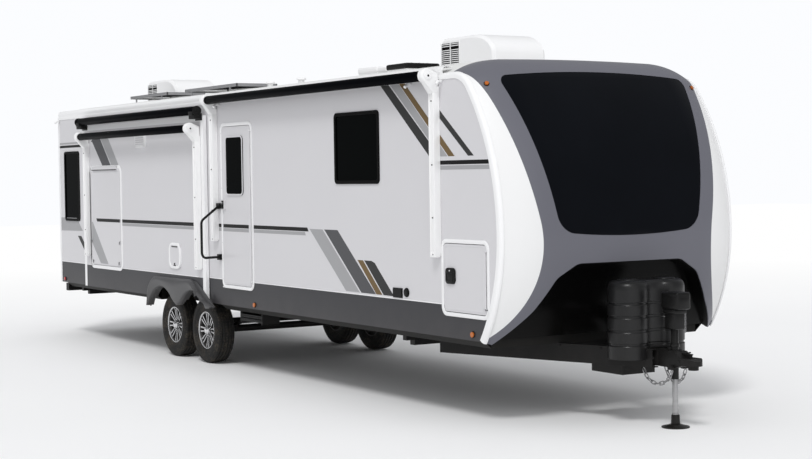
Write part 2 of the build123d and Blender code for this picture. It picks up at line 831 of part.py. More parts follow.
with BuildPart() as slide_awning_arms:
    for fore, low in slide_arms:
        block((fore, -face_left, low), (fore + slide_arm_width, -face_left - arm_proud, slide_head_up))
        with BuildSketch(cross.offset(fore)):
            awning_head(face_left + gap, slide_head_up, *slide_roller)
        extrude(amount=slide_arm_width)
slide_awning_arms.part.label = "slide_awning_arms"
export_step(slide_awning_arms.part, "parts/slide_awning_arms.step")

with BuildPart() as main_awning_roller:
    with BuildSketch(cross.offset(main_arms[0][0] + main_arm_width)):
        with Locations((-main_roller[0], main_roller[1])):
            Circle(awning_roller_radius)
        with BuildLine():
            top = main_roller[1] + awning_roller_radius
            Polyline((-trim_left - gap, eave + 12), (-trim_left - gap, eave + 16), (-main_roller[0], top),
                     (-main_roller[0], top - 4), close=True)
        make_face()
    extrude(amount=main_arms[1][0] - main_arms[0][0] - main_arm_width)
main_awning_roller.part.label = "main_awning_roller"
export_step(main_awning_roller.part, "parts/main_awning_roller.step")

with BuildPart() as slide_awning_roller:
    with BuildSketch(cross.offset(slide_arms[0][0] + slide_arm_width)):
        with Locations((-slide_roller[0], slide_roller[1])):
            Circle(awning_roller_radius)
    extrude(amount=slide_arms[1][0] - slide_arms[0][0] - slide_arm_width)
slide_awning_roller.part.label = "slide_awning_roller"
export_step(slide_awning_roller.part, "parts/slide_awning_roller.step")

topper = (1320, 2712)
topper_radius = 48
topper_rear = -2905
topper_front = 705
topper_bracket = 25

with BuildPart() as topper_roller:
    with BuildSketch(cross.offset(topper_rear)):
        with Locations((-topper[0], topper[1])):
            Circle(topper_radius)
    extrude(amount=topper_front - topper_rear)
    for fore in (topper_rear - topper_bracket, topper_front):
        block((fore, -face_left, flange_top - 60), (fore + topper_bracket, -topper[0] - 56, topper[1] + 56))
topper_roller.part.label = "topper_roller"
export_step(topper_roller.part, "parts/topper_roller.step")

# Roof equipment, trimmed to the crown it stands on
roof_up = eave + crown_rise
roof_sink = 25
raised_roof = roof.part.moved(Location((0, 0, gap)))
ac_places = [(3900, 4800), (-3160, -2200)]
ac_half = 290
ac_height = 300
ac_nose = 330
ac_nose_foot = 110
ac_rear_lean = 25
ac_rear_round = 45
ac_edge = 28
vent_places = [(2650, -430), (3200, -430), (-1500, 350)]
vent_size = 360
vent_height = 85
solar_places = [(-2330, -1180), (-660, 720)]
solar_left = 850
solar_width = 495
solar_lift = 30
solar_thick = 35

with BuildPart() as ac_units:
    for rear, front in ac_places:
        with BuildSketch(side.offset(-ac_half)):
            with BuildLine():
                top = roof_up + ac_height
                Polyline((rear + ac_rear_lean + ac_rear_round, top), (rear + ac_rear_lean, top - ac_rear_round),
                         (rear, roof_up - roof_sink), (front, roof_up - roof_sink), (front, roof_up + ac_nose_foot))
                EllipticalCenterArc((front - ac_nose, roof_up + ac_nose_foot), ac_nose, ac_height - ac_nose_foot,
                                    start_angle=0, arc_size=90)
                Line((front - ac_nose, top), (rear + ac_rear_lean + ac_rear_round, top))
            make_face()
        extrude(amount=2 * ac_half)
    shroud_sides = ac_units.faces().filter_by(Axis.Y)
    chamfer([edge for edge in shroud_sides.edges() if edge.center().Z > at(0, 0, roof_up)[2]], length=ac_edge)
    add(raised_roof, mode=Mode.SUBTRACT)
ac_units.part.label = "ac_units"
export_step(ac_units.part, "parts/ac_units.step")

with BuildPart() as roof_vents:
    for fore, left in vent_places:
        block((fore, left, roof_up - roof_sink), (fore + vent_size, left + vent_size, roof_up + vent_height))
    add(raised_roof, mode=Mode.SUBTRACT)
roof_vents.part.label = "roof_vents"
export_step(roof_vents.part, "parts/roof_vents.step")

with BuildPart() as solar_panels:
    for rear, front in solar_places:
        block((rear, -solar_left, roof_up + solar_lift),
              (front, solar_width - solar_left, roof_up + solar_lift + solar_thick))
        for fore in (rear + 150, front - 190):
            for left in (-solar_left + 60, solar_width - solar_left - 100):
                block((fore, left, roof_up - roof_sink), (fore + 40, left + 40, roof_up + solar_lift))
    add(raised_roof, mode=Mode.SUBTRACT)
solar_panels.part.label = "solar_panels"
export_step(solar_panels.part, "parts/solar_panels.step")

# Rails and drawbar
rail_rear = rear_x + wall
rail_front = 5200
rail_flange_thick = 10
channel_web = 8
channel_flange = 9
drawbar_spread = spring_left
drawbar_slope = (drawbar_spread - 81) / (drawbar_tip - drawbar_rear)
tray_half = 262
tray_rear = 6370
tray_front = 6630
tray_thick = 5

with BuildPart() as chassis_rails:
    for s in (-1, 1):
        with BuildSketch(cross.offset(rail_rear)):
            with Locations((s * spring_left, rail_bottom + rail_height / 2)):
                Rectangle(rail_flange, rail_height)
                Rectangle(rail_flange, rail_height - 2 * rail_flange_thick, mode=Mode.SUBTRACT)
                Rectangle(rail_web, rail_height)
        extrude(amount=rail_front - rail_rear)
chassis_rails.part.label = "chassis_rails"
export_step(chassis_rails.part, "parts/chassis_rails.step")


def drawbar_line(fore):
    """How far left the middle of a drawbar channel is at a station."""
    return drawbar_spread - (fore - drawbar_rear) * drawbar_slope


def channel_band(inside, outside):
    """Plan of both channels between two distances from their middle lines; outwards is positive."""
    with BuildSketch(plan.offset(drawbar_bottom)) as band:
        for s in (-1, 1):
            with BuildLine():
                Polyline(
                    (drawbar_rear, s * (drawbar_line(drawbar_rear) + inside)),
                    (drawbar_rear, s * (drawbar_line(drawbar_rear) + outside)),
                    (drawbar_tip, s * (drawbar_line(drawbar_tip) + outside)),
                    (drawbar_tip, s * (drawbar_line(drawbar_tip) + inside)), close=True,
                )
            make_face()
    return band.sketch


with BuildPart() as drawbar:
    half_band = drawbar_width / 2
    extrude(channel_band(-half_band, half_band), amount=channel_flange)
    extrude(channel_band(half_band - channel_web, half_band), amount=drawbar_depth)
    top_flange = channel_band(-half_band, half_band).moved(Location((0, 0, drawbar_depth - channel_flange)))
    extrude(top_flange, amount=channel_flange)
    with BuildSketch(plan.offset(drawbar_bottom + channel_flange)):
        for fore in (5600, 6150):
            reach = [(f, drawbar_line(f) + half_band - channel_web) for f in (fore, fore + 60)]
            with BuildLine():
                Polyline(*reach, *[(f, -l) for f, l in reversed(reach)], close=True)
            make_face()
    extrude(amount=drawbar_depth - 2 * channel_flange)
    block((tray_rear, -tray_half, belly_bottom), (tray_front, tray_half, belly_bottom + tray_thick))
    block((6000, -170, drawbar_bottom - 84), (6400, 170, drawbar_bottom))
drawbar.part.label = "drawbar"
export_step(drawbar.part, "parts/drawbar.step")

# Coupler: a wedge between the channels, drawn out to the ball socket
socket_x = axle_to_coupler
socket_up = coupler_height
coupler_nose = 70
coupler_rear = 6560
coupler_skin = 6
wedge_rear_half = drawbar_line(coupler_rear) - drawbar_width / 2 - gap
wedge_tip_half = drawbar_line(drawbar_tip) - drawbar_width / 2 - gap
jack_hole = jack_tube_radius + gap

with BuildPart() as coupler:
    with BuildSketch(plan.offset(drawbar_bottom)):
        with BuildLine():
            Polyline((socket_x, coupler_nose), (drawbar_tip, wedge_tip_half), (coupler_rear, wedge_rear_half),
                     (coupler_rear, -wedge_rear_half), (drawbar_tip, -wedge_tip_half), (socket_x, -coupler_nose))
            CenterArc((socket_x, 0), coupler_nose, -90, 180)
        make_face()
    extrude(amount=drawbar_depth)
    with BuildSketch(side.offset(-200)):
        with BuildLine():
            Polyline((coupler_rear, 480), (coupler_rear, 612), (jack_x + 70, 612), (socket_x - 80, 566),
                     (socket_x + 20, 566), (socket_x + 72, 545), (socket_x + 72, 508), (socket_x - 60, 508),
                     (jack_x + 60, 480), close=True)
        make_face()
    extrude(amount=400, mode=Mode.INTERSECT)
    with Locations(at(socket_x, 0, socket_up - 12.5)):
        Cylinder(ball_radius + socket_wall, 25)
    with Locations(at(socket_x, 0, socket_up + 15)):
        Cylinder(ball_radius + socket_wall, 30)
    with Locations(at(socket_x, 0, socket_up)):
        Sphere(ball_radius, mode=Mode.SUBTRACT)
    with Locations(at(socket_x, 0, socket_up - 12.5)):
        Cylinder(ball_radius, 25, mode=Mode.SUBTRACT)
    with Locations(at(jack_x, 0, drawbar_bottom + 100)):
        Cylinder(jack_hole, 400, mode=Mode.SUBTRACT)
    block((socket_x - 150, -9, 560), (socket_x - 20, 9, 592))
    for s in (-1, 1):
        block((6866, s * 40, drawbar_bottom), (6900, s * 92, 500))
coupler.part.label = "coupler"
export_step(coupler.part, "parts/coupler.step")

# Tongue jack, standing on the ground
jack_foot_thick = 12
jack_collar_up = 100
jack_inner_top = 600
jack_tube_low = 385
jack_tube_top = 780
jack_flange_up = 612
jack_head_up = 930
jack_top = 1080

with BuildPart() as jack_housing:
    with BuildSketch(plan.offset(jack_tube_low)):
        with Locations((jack_x, 0)):
            Circle(jack_tube_radius)
            Circle(jack_inner_radius + gap, mode=Mode.SUBTRACT)
    extrude(amount=jack_tube_top - jack_tube_low)
    with BuildSketch(plan.offset(jack_flange_up)):
        with Locations((jack_x, 0)):
            Circle(60)
            Circle(jack_inner_radius + gap, mode=Mode.SUBTRACT)
    extrude(amount=10)
    with BuildSketch(plan.offset(jack_tube_top)):
        with Locations((jack_x, 0)):
            Rectangle(120, 116)
    with BuildSketch(plan.offset(jack_head_up)):
        with Locations((jack_x, 0)):
            Rectangle(140, 136)
    loft()
    block((jack_x - 85, -72, jack_head_up), (jack_x + 115, 72, jack_top))
jack_housing.part.label = "jack_housing"
export_step(jack_housing.part, "parts/jack_housing.step")

with BuildPart() as jack_foot:
    with BuildSketch(plan):
        with Locations((jack_x, 0)):
            RegularPolygon(jack_foot_radius, 12)
    extrude(amount=jack_foot_thick)
    with BuildSketch(plan.offset(jack_foot_thick)):
        with Locations((jack_x, 0)):
            RegularPolygon(40, 12)
    extrude(amount=jack_collar_up - jack_foot_thick)
    with BuildSketch(plan.offset(jack_collar_up)):
        with Locations((jack_x, 0)):
            Circle(jack_inner_radius)
    extrude(amount=jack_inner_top - jack_collar_up)
jack_foot.part.label = "jack_foot"
export_step(jack_foot.part, "parts/jack_foot.step")

# Gas bottle cover
cover_x = 6500
cover_lobe = 165
cover_left = 190
cover_waist = 135
cover_bottom = 530
cover_top = 1170
cover_skin = 5
cover_shoulder = 60
groove_ups = (643, 753, 866, 973)
groove_height = 14
groove_depth = 7


def cover_outline(inset):
    """The cover's plan: one lobe for each bottle and a waist between them."""
    for s in (-1, 1):
        with Locations((cover_x, s * cover_left)):
            Circle(cover_lobe - inset)
    with Locations((cover_x, 0)):
        Rectangle(2 * (cover_waist - inset), 2 * cover_left)


with BuildPart() as cover_inside:
    with BuildSketch(plan.offset(cover_bottom - 20)):
        cover_outline(cover_skin + groove_depth)
    extrude(amount=cover_top - cover_skin - cover_bottom + 20)
    top_edges = cover_inside.faces().sort_by(Axis.Z)[-1].edges()
    chamfer(top_edges, length=cover_shoulder - 10)

with BuildPart() as gas_cover:
    with BuildSketch(plan.offset(cover_bottom)):
        cover_outline(0)
    extrude(amount=cover_top - cover_bottom)
    chamfer(gas_cover.faces().sort_by(Axis.Z)[-1].edges(), length=cover_shoulder)
    for up in groove_ups:
        with BuildSketch(plan.offset(up)):
            with Locations((cover_x, 0)):
                Rectangle(600, 900)
            with BuildSketch(plan.offset(up), mode=Mode.PRIVATE) as core:
                cover_outline(groove_depth)
            add(core.sketch_local, mode=Mode.SUBTRACT)
        extrude(amount=groove_height, mode=Mode.SUBTRACT)
    add(cover_inside.part, mode=Mode.SUBTRACT)
    with BuildSketch(plan.offset(cover_bottom - 20)):
        with BuildLine():
            reach = [(f, drawbar_line(f) + drawbar_width / 2 + 8) for f in (6300, 6700)]
            Polyline(*[(f, l) for f, l in reach], *[(f, -l) for f, l in reversed(reach)], close=True)
        make_face()
    extrude(amount=belly_bottom + tray_thick + gap - cover_bottom + 20, mode=Mode.SUBTRACT)
gas_cover.part.label = "gas_cover"
export_step(gas_cover.part, "parts/gas_cover.step")

# Safety chains: flat links, turned a quarter from one to the next
link_bar = 9
link_inside = 46
link_width = 17
link_chamfer = 7
link_pitch = link_inside - 2
link_count = 9
chain_start = 6600
chain_left = 117
chain_drift = 0.16
chain_swing = 76
chain_up = drawbar_bottom - 11.5


def chain_link():
    """One link's outline: an elongated ring with chamfered corners, centred on its own plane."""
    long_half = link_inside / 2 + link_bar
    wide_half = link_width / 2 + link_bar
    with BuildLine() as ring:
        Polyline(
            (link_chamfer - long_half, wide_half), (long_half - link_chamfer, wide_half),
            (long_half, wide_half - link_chamfer), (long_half, link_chamfer - wide_half),
            (long_half - link_chamfer, -wide_half), (link_chamfer - long_half, -wide_half),
            (-long_half, link_chamfer - wide_half), (-long_half, wide_half - link_chamfer), close=True,
        )
    make_face(ring.edges())
    Rectangle(link_inside, link_width, mode=Mode.SUBTRACT)


with BuildPart() as tow_chains:
    for s in (-1, 1):
        fore = chain_start
        up = chain_up
        for k in range(link_count):
            slope = radians(chain_swing * (2 * (k + 0.5) / link_count - 1))
            left = s * (chain_left - chain_drift * (fore - chain_start))
            long_way = Vector(cos(slope), -s * chain_drift * cos(slope), sin(slope)).normalized()
            upright = Vector(0, 1, 0).cross(long_way).normalized()
            face_way = long_way.cross(upright) if k % 2 else upright
            middle = Vector(*at(fore, left, up)) + long_way * (link_pitch / 2) - face_way * (link_bar / 2)
            with BuildSketch(Plane(origin=middle, x_dir=long_way, z_dir=face_way)):
                chain_link()
            extrude(amount=link_bar)
            fore += link_pitch * long_way.X
            up += link_pitch * long_way.Z
tow_chains.part.label = "tow_chains"
export_step(tow_chains.part, "parts/tow_chains.step")

# Axles, springs and wheels
axle_tube_end = track_half - rim_half - 8
backing_thick = 8
backing_radius = 150
drum_inner = -rim_half
drum_outer = -24
spindle_end = 45
bore_end = 52
spring_half = 330
spring_thick = 24
spring_width = 45
eye_up = 520
eye_radius = 24
spring_seat_up = tyre_radius + axle_tube_radius

with BuildPart() as axle_beams:
    for fore in (-axle_half_spacing, axle_half_spacing):
        with BuildSketch(side.offset(-axle_tube_end)):
            with Locations((fore, tyre_radius)):
                Circle(axle_tube_radius)
        extrude(amount=2 * axle_tube_end)
        with BuildSketch(side.offset(-track_half - spindle_end)):
            with Locations((fore, tyre_radius)):
                Circle(spindle_radius)
        extrude(amount=2 * (track_half + spindle_end))
        for s in (-1, 1):
            with BuildSketch(side.offset(s * (axle_tube_end - backing_thick))):
                with Locations((fore, tyre_radius)):
                    RegularPolygon(backing_radius, 24)
            extrude(amount=s * backing_thick)
            block((fore - 55, s * (spring_left - 30), spring_seat_up - 20),
                  (fore + 55, s * (spring_left + 30), spring_seat_up))
axle_beams.part.label = "axle_beams"
export_step(axle_beams.part, "parts/axle_beams.step")

with BuildPart() as leaf_springs:
    for s in (-1, 1):
        with BuildSketch(side.offset(s * (spring_left - spring_width / 2))):
            for fore in (-axle_half_spacing, axle_half_spacing):
                with BuildLine():
                    low = ThreePointArc((fore - spring_half, eye_up - spring_thick / 2), (fore, spring_seat_up),
                                        (fore + spring_half, eye_up - spring_thick / 2))
                    high = ThreePointArc((fore + spring_half, eye_up + spring_thick / 2),
                                         (fore, spring_seat_up + spring_thick),
                                         (fore - spring_half, eye_up + spring_thick / 2))
                    Line(low @ 1, high @ 0)
                    Line(high @ 1, low @ 0)
                make_face()
                with Locations((fore - spring_half, eye_up), (fore + spring_half, eye_up)):
                    RegularPolygon(eye_radius, 12)
            inner_eye = axle_half_spacing - spring_half
            with BuildLine():
                Polyline((-inner_eye, eye_up - 15), (inner_eye, eye_up - 15), (inner_eye, eye_up + 15), (30, 600),
                         (30, belly_bottom), (-30, belly_bottom), (-30, 600), (-inner_eye, eye_up + 15), close=True)
            make_face()
            for end in (-1, 1):
                outer_eye = end * (axle_half_spacing + spring_half)
                panel(outer_eye - 28, eye_up - 20, outer_eye + 28, belly_bottom)
        extrude(amount=s * spring_width)
leaf_springs.part.label = "leaf_springs"
export_step(leaf_springs.part, "parts/leaf_springs.step")

wheels = [
    # name, fore, side
    ("curb_rear", -axle_half_spacing, -1),
    ("curb_front", axle_half_spacing, -1),
    ("road_rear", -axle_half_spacing, 1),
    ("road_front", axle_half_spacing, 1),
]
tread_half = 85
shoulder_radius_tyre = 325
tyre_half = tyre_width / 2
spoke_count = 8
spoke_spread = 10
spoke_width = 17
spoke_low = 24
spoke_high = 52
cap_radius = 40
cap_out = 92

for name, fore, s in wheels:
    spin = Axis(at(fore, 0, tyre_radius), (0, 1, 0))
    radial = Plane(origin=at(fore, s * track_half, tyre_radius), x_dir=(0, s, 0), z_dir=(s, 0, 0))
    facing = Plane(origin=at(fore, s * track_half, tyre_radius), x_dir=(1, 0, 0), z_dir=(0, s, 0))

    with BuildPart() as tyre:
        with BuildSketch(radial):
            with BuildLine():
                Polyline(
                    (-tread_half, tyre_radius), (tread_half, tyre_radius), (tyre_half, shoulder_radius_tyre),
                    (rim_half, rim_radius + gap), (-rim_half, rim_radius + gap),
                    (-tyre_half, shoulder_radius_tyre), close=True,
                )
            make_face()
        revolve(axis=spin)
    tyre.part.label = "tyre_" + name
    export_step(tyre.part, "parts/tyre_" + name + ".step")

    with BuildPart() as rim:
        with BuildSketch(radial):
            panel(-rim_half, rim_radius - barrel_thick, rim_half, rim_radius)
        revolve(axis=spin)
        with BuildSketch(facing.offset(spoke_low)):
            with PolarLocations(0, spoke_count, start_angle=90 - spoke_spread):
                with Locations((120, 0)):
                    Rectangle(2 * (rim_radius - 6 - 120), spoke_width)
            with PolarLocations(0, spoke_count, start_angle=90 + spoke_spread):
                with Locations((120, 0)):
                    Rectangle(2 * (rim_radius - 6 - 120), spoke_width)
        extrude(amount=spoke_high - spoke_low)
        with BuildSketch(facing.offset(drum_inner)):
            RegularPolygon(hub_radius, 16)
        extrude(amount=spoke_high + 8 - drum_inner)
        with BuildSketch(facing.offset(drum_inner)):
            RegularPolygon(drum_radius, 24)
        extrude(amount=drum_outer - drum_inner)
        with BuildSketch(facing.offset(spoke_high + 8)):
            RegularPolygon(cap_radius, 16)
        extrude(amount=cap_out - spoke_high - 8)
        with BuildSketch(facing.offset(drum_inner)):
            Circle(spindle_radius + running_fit)
        extrude(amount=bore_end - drum_inner, mode=Mode.SUBTRACT)
    rim.part.label = "rim_" + name
    export_step(rim.part, "parts/rim_" + name + ".step")

# Baggage doors on both sides
latch = (5430, 1140, 5550, 1250)
latch_proud = 14
baggage_proud = 2

for name, s in (("curb_baggage_door", -1), ("road_baggage_door", 1)):
    with BuildPart() as baggage_door:
        with BuildSketch(side.offset(-s * (half_width + baggage_proud))):
            panel(baggage[0] + seam, baggage[1] + seam, baggage[2] - seam, baggage[3] - seam,
                  baggage_corner - seam)
        extrude(amount=s * (wall + baggage_proud))
        with BuildSketch(side.offset(-s * (half_width + baggage_proud))):
            panel(*latch, 12)
        extrude(amount=-s * latch_proud)
        with BuildSketch(plan.offset(baggage_hinge_low)):
            with Locations((baggage_hinge_x, s * baggage_hinge_left)):
                Circle(hinge_radius)
            low_left = s * (half_width + baggage_proud)
            high_left = s * (baggage_hinge_left + strap_thick / 2)
            panel(baggage_hinge_x - 40, min(low_left, high_left), baggage_hinge_x - 14, max(low_left, high_left))
            low_left = s * (baggage_hinge_left - strap_thick / 2)
            panel(baggage_hinge_x - 20, min(low_left, high_left), baggage_hinge_x, max(low_left, high_left))
            with Locations((baggage_hinge_x, s * baggage_hinge_left)):
                Circle(pin_radius + pin_play, mode=Mode.SUBTRACT)
        extrude(amount=baggage_hinge_high - baggage_hinge_low)
    baggage_door.part.label = name
    export_step(baggage_door.part, "parts/" + name + ".step")

# Entrance step, stabilisers and bumper under the body
step_rear = 1190
step_front = 1710
step_side = 8
step_inner = 880
step_outer = 1080

with BuildPart() as entry_step:
    for fore in (step_rear, step_front - step_side):
        block((fore, -step_inner, 505), (fore + step_side, -step_outer, belly_bottom))
    for up in (520, 565):
        block((step_rear, -step_inner, up), (step_front, -step_outer, up + 24))
entry_step.part.label = "entry_step"
export_step(entry_step.part, "parts/entry_step.step")

with BuildPart() as stabilizers:
    for fore in (-3620, 4450):
        for s in (-1, 1):
            block((fore, s * 520, belly_bottom - 46), (fore + 60, s * 1060, belly_bottom))
            block((fore - 8, s * 440, belly_bottom - 92), (fore + 68, s * 980, belly_bottom - 46))
            block((fore - 40, s * 340, belly_bottom - 98), (fore + 100, s * 440, belly_bottom - 40))
stabilizers.part.label = "stabilizers"
export_step(stabilizers.part, "parts/stabilizers.step")

bumper_rear = rear_x - 110
bumper_size = 100
bumper_low = 556
bumper_half = 1120

with BuildPart() as bumper:
    block((bumper_rear, -bumper_half, bumper_low), (bumper_rear + bumper_size, bumper_half, bumper_low + bumper_size))
    for s in (-1, 1):
        block((bumper_rear + bumper_size, s * (spring_left - 30), bumper_low + 4),
              (rear_x + 260, s * (spring_left + 30), belly_bottom))
bumper.part.label = "bumper"
export_step(bumper.part, "parts/bumper.step")

# Lamps and ports
lamp_radius = 22
lamp_proud = 16
amber_places = [(1828, 728), (5800, 735)]
nose_lamp = (5843, 1087, 2756)
nose_lamp_way = (0.739, 0.39, 0.55)
nose_lamp_radius = 17
nose_lamp_sink = 15
red_places = [(-3800, 727)]
rear_lamps = [(-1000, 1050), (1000, 1050)]
rear_markers = [(-1080, 2760), (-160, 2760), (0, 2760), (160, 2760), (1080, 2760)]

with BuildPart() as marker_lamps:
    for out in (-1, 1):
        with BuildSketch(side.offset(out * half_width)):
            with Locations(*amber_places):
                RegularPolygon(lamp_radius, 12)
        extrude(amount=out * lamp_proud)
    for s in (-1, 1):
        outward = (nose_lamp_way[0], s * nose_lamp_way[1], nose_lamp_way[2])
        lamp_plane = Plane(origin=at(nose_lamp[0], s * nose_lamp[1], nose_lamp[2]), z_dir=outward)
        with BuildSketch(lamp_plane.offset(-nose_lamp_sink)):
            RegularPolygon(nose_lamp_radius, 12)
        extrude(amount=nose_lamp_sink + lamp_proud)
    add(nose_cap.part.moved(Location((gap, 0, gap))), mode=Mode.SUBTRACT)
marker_lamps.part.label = "marker_lamps"
export_step(marker_lamps.part, "parts/marker_lamps.step")

with BuildPart() as tail_lamps:
    for out in (-1, 1):
        with BuildSketch(side.offset(out * half_width)):
            with Locations(*red_places):
                RegularPolygon(lamp_radius, 12)
        extrude(amount=out * lamp_proud)
    with BuildSketch(cross.offset(rear_x)):
        with Locations(*rear_lamps):
            RectangleRounded(220, 90, 20)
        with Locations(*rear_markers):
            Rectangle(70, 24)
    extrude(amount=-lamp_proud)
tail_lamps.part.label = "tail_lamps"
export_step(tail_lamps.part, "parts/tail_lamps.step")

with BuildPart() as utility_ports:
    with BuildSketch(side.offset(half_width)):
        panel(4573, 975, 4713, 1046, 10)
        with Locations((4789, 1020)):
            RegularPolygon(36, 12)
    extrude(amount=14)
utility_ports.part.label = "utility_ports"
export_step(utility_ports.part, "parts/utility_ports.step")
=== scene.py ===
import json
from math import cos, pi, radians, sin, sqrt

import bmesh
import bpy
from mathutils import Matrix, Vector


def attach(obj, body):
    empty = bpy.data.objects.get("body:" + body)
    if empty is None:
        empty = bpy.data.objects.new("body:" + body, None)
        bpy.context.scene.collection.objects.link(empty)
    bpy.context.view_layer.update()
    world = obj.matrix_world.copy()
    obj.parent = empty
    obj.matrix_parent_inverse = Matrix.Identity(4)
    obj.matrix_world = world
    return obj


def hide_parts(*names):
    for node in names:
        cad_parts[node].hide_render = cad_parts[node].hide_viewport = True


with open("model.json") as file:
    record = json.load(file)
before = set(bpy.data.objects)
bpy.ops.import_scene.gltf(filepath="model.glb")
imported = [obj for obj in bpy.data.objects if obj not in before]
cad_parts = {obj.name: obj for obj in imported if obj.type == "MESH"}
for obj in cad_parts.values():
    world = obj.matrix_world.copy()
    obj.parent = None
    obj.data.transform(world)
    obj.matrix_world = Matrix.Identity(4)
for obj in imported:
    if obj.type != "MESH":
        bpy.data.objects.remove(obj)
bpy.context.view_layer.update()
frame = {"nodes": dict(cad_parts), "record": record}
nodes = frame["nodes"]

# Datum: millimetres forward of the axle middle, to the left, and up from the ground
AXLE_TO_COUPLER = 7060
COUPLER_HEIGHT = 500
HALF_WIDTH = 1219
SLIDE_FACE = 1264
KITCHEN_FACE = 1267
ENTRY_FACE = 1228
ENTRY_FRAME = 1225
WAIST_TOP = 952
JACK_FORE = 6845
FILM = 0.8
CURB = -1
ROAD = 1

# Rollers of the awnings: millimetres out from the trailer's middle, and up from the ground
MAIN_ROLLER = (1330, 2847)
SLIDE_ROLLER = (1380, 2562)
TOPPER_ROLLER = (1322, 2752)


def spot(fore, left, up):
    """A place on the datum as metres in the shared frame."""
    return Vector((fore - AXLE_TO_COUPLER, left, up - COUPLER_HEIGHT)) / 1000


def outward(left):
    """The direction away from the trailer's middle on the side that a place is on."""
    return ROAD if left > 0 else CURB


# Shader building
class Value:
    """A number that changes over a surface, so that shader maths reads as a formula."""

    def __init__(self, owner, socket):
        self.owner = owner
        self.socket = socket

    def maths(self, operation, *numbers):
        return self.owner.maths(operation, *numbers)

    def __add__(self, other):
        return self.maths("ADD", self, other)

    def __sub__(self, other):
        return self.maths("SUBTRACT", self, other)

    def __rsub__(self, other):
        return self.maths("SUBTRACT", other, self)

    def __mul__(self, other):
        return self.maths("MULTIPLY", self, other)

    def __truediv__(self, other):
        return self.maths("DIVIDE", self, other)

    def __lt__(self, other):
        return self.maths("LESS_THAN", self, other)

    def __pow__(self, other):
        return self.maths("POWER", self, other)

    def clamped(self):
        return self.maths("MINIMUM", self.maths("MAXIMUM", self, 0), 1)

    def sine(self):
        return self.maths("SINE", self)

    __radd__ = __add__
    __rmul__ = __mul__


class ShaderTree:
    """A tree of shader nodes, with one way to add a node and to feed its sockets."""

    def __init__(self, tree):
        self.tree = tree

    def node(self, kind, settings=None, sockets=None):
        made = self.tree.nodes.new(kind)
        for key, value in (settings or {}).items():
            setattr(made, key, value)
        for key, value in (sockets or {}).items():
            self.feed(made.inputs[key], value)
        return made

    def feed(self, socket, value):
        if isinstance(value, Value):
            value = value.socket
        if isinstance(value, bpy.types.NodeSocket):
            self.tree.links.new(value, socket)
        else:
            socket.default_value = value

    def maths(self, operation, *numbers):
        made = self.node("ShaderNodeMath", {"operation": operation}, dict(enumerate(numbers)))
        return Value(self, made.outputs[0])


class Finish(ShaderTree):
    """A procedural material for one of the trailer's surfaces."""

    def __init__(self, name):
        self.material = bpy.data.materials.new(name)
        self.material.use_nodes = True
        super().__init__(self.material.node_tree)
        self.shader = self.tree.nodes["Principled BSDF"]
        self.place = self.node("ShaderNodeTexCoord").outputs["Object"]
        axes = self.node("ShaderNodeSeparateXYZ", {}, {0: self.place}).outputs
        self.fore, self.left, self.up = (Value(self, axis) for axis in axes)

    def height(self):
        """Metres above the ground."""
        return self.up + COUPLER_HEIGHT / 1000

    def noise(self, scale, detail):
        sockets = {"Vector": self.place, "Scale": scale, "Detail": detail}
        return Value(self, self.node("ShaderNodeTexNoise", {}, sockets).outputs[0])

    def blend(self, first, second, amount):
        made = self.node("ShaderNodeMix", {"data_type": "RGBA"}, {0: amount, 6: tint(first), 7: tint(second)})
        return made.outputs[2]

    def bump(self, height, depth, strength):
        made = self.node("ShaderNodeBump", {}, {"Strength": strength, "Distance": depth, "Height": height})
        self.feed(self.shader.inputs["Normal"], made.outputs[0])

    def wear(self, **sockets):
        for key, value in sockets.items():
            self.feed(self.shader.inputs[key.replace("_", " ")], value)
        return self


def tint(colour):
    """A colour with its alpha, or a socket as it is."""
    if isinstance(colour, tuple):
        return (*colour, 1.0)
    return colour


def shade(colour, amount):
    """A colour made lighter or darker, and no brighter than white."""
    return tuple(min(1.0, channel * amount) for channel in colour)


# Painted shade: the walls' white is set darker than the same white gelcoat on the nose, to stand for the
# shade along the sides; the doors share it.
SHADED_SIDE_WHITE = (0.655, 0.648, 0.665)
SATIN_WHITE = (0.87, 0.87, 0.875)
WAIST_GREY = (0.042, 0.042, 0.047)
NOSE_GREY = (0.135, 0.136, 0.160)
ROAD_DUST = (0.30, 0.27, 0.23)
WALL_DUST = (0.22, 0.20, 0.18)
TREAD_DUST = (0.115, 0.092, 0.066)


def surface(name, colour, rough, metal=0.0, coat=0.0, vary=0.05, patches=1.5, grain=900, depth=0.0002,
            dust=0.0, dust_up=1.0, specular=0.5, strength=0.25):
    """A finish with soft colour patches, a fine grain and road dust that thins out upwards."""
    finish = Finish(name)
    finish.patch = finish.noise(patches, 5.0)
    fine = finish.noise(grain, 2.0)
    finish.paint = finish.blend(shade(colour, 1 - vary), shade(colour, 1 + vary), finish.patch)
    roughness = rough + (finish.patch - 0.5) * 0.25 * rough + (fine - 0.5) * 0.12
    if dust:
        film = ((1 - finish.height() / dust_up).clamped() * finish.noise(7.0, 6.0) * 2 * dust).clamped()
        finish.paint = finish.blend(finish.paint, ROAD_DUST, film)
        roughness = roughness + film * 0.4
    finish.wear(Base_Color=finish.paint, Roughness=roughness.clamped(), Metallic=metal, Coat_Weight=coat)
    finish.shader.inputs["Specular IOR Level"].default_value = specular
    finish.bump(fine, depth, strength)
    return finish


def banded(finish, colour, top):
    """Paints a band of another colour below a height, as the wall's lower laminate has."""
    height, dust_top = finish.height(), 0.95
    low = finish.blend(shade(colour, 0.95), shade(colour, 1.05), finish.patch)
    dusty = ((1.0 - height / dust_top).clamped() * finish.noise(6.0, 6.0) * 0.5).clamped()
    low = finish.blend(low, WALL_DUST, dusty)
    finish.wear(Base_Color=finish.blend(finish.paint, low, height < top / 1000))
    return finish


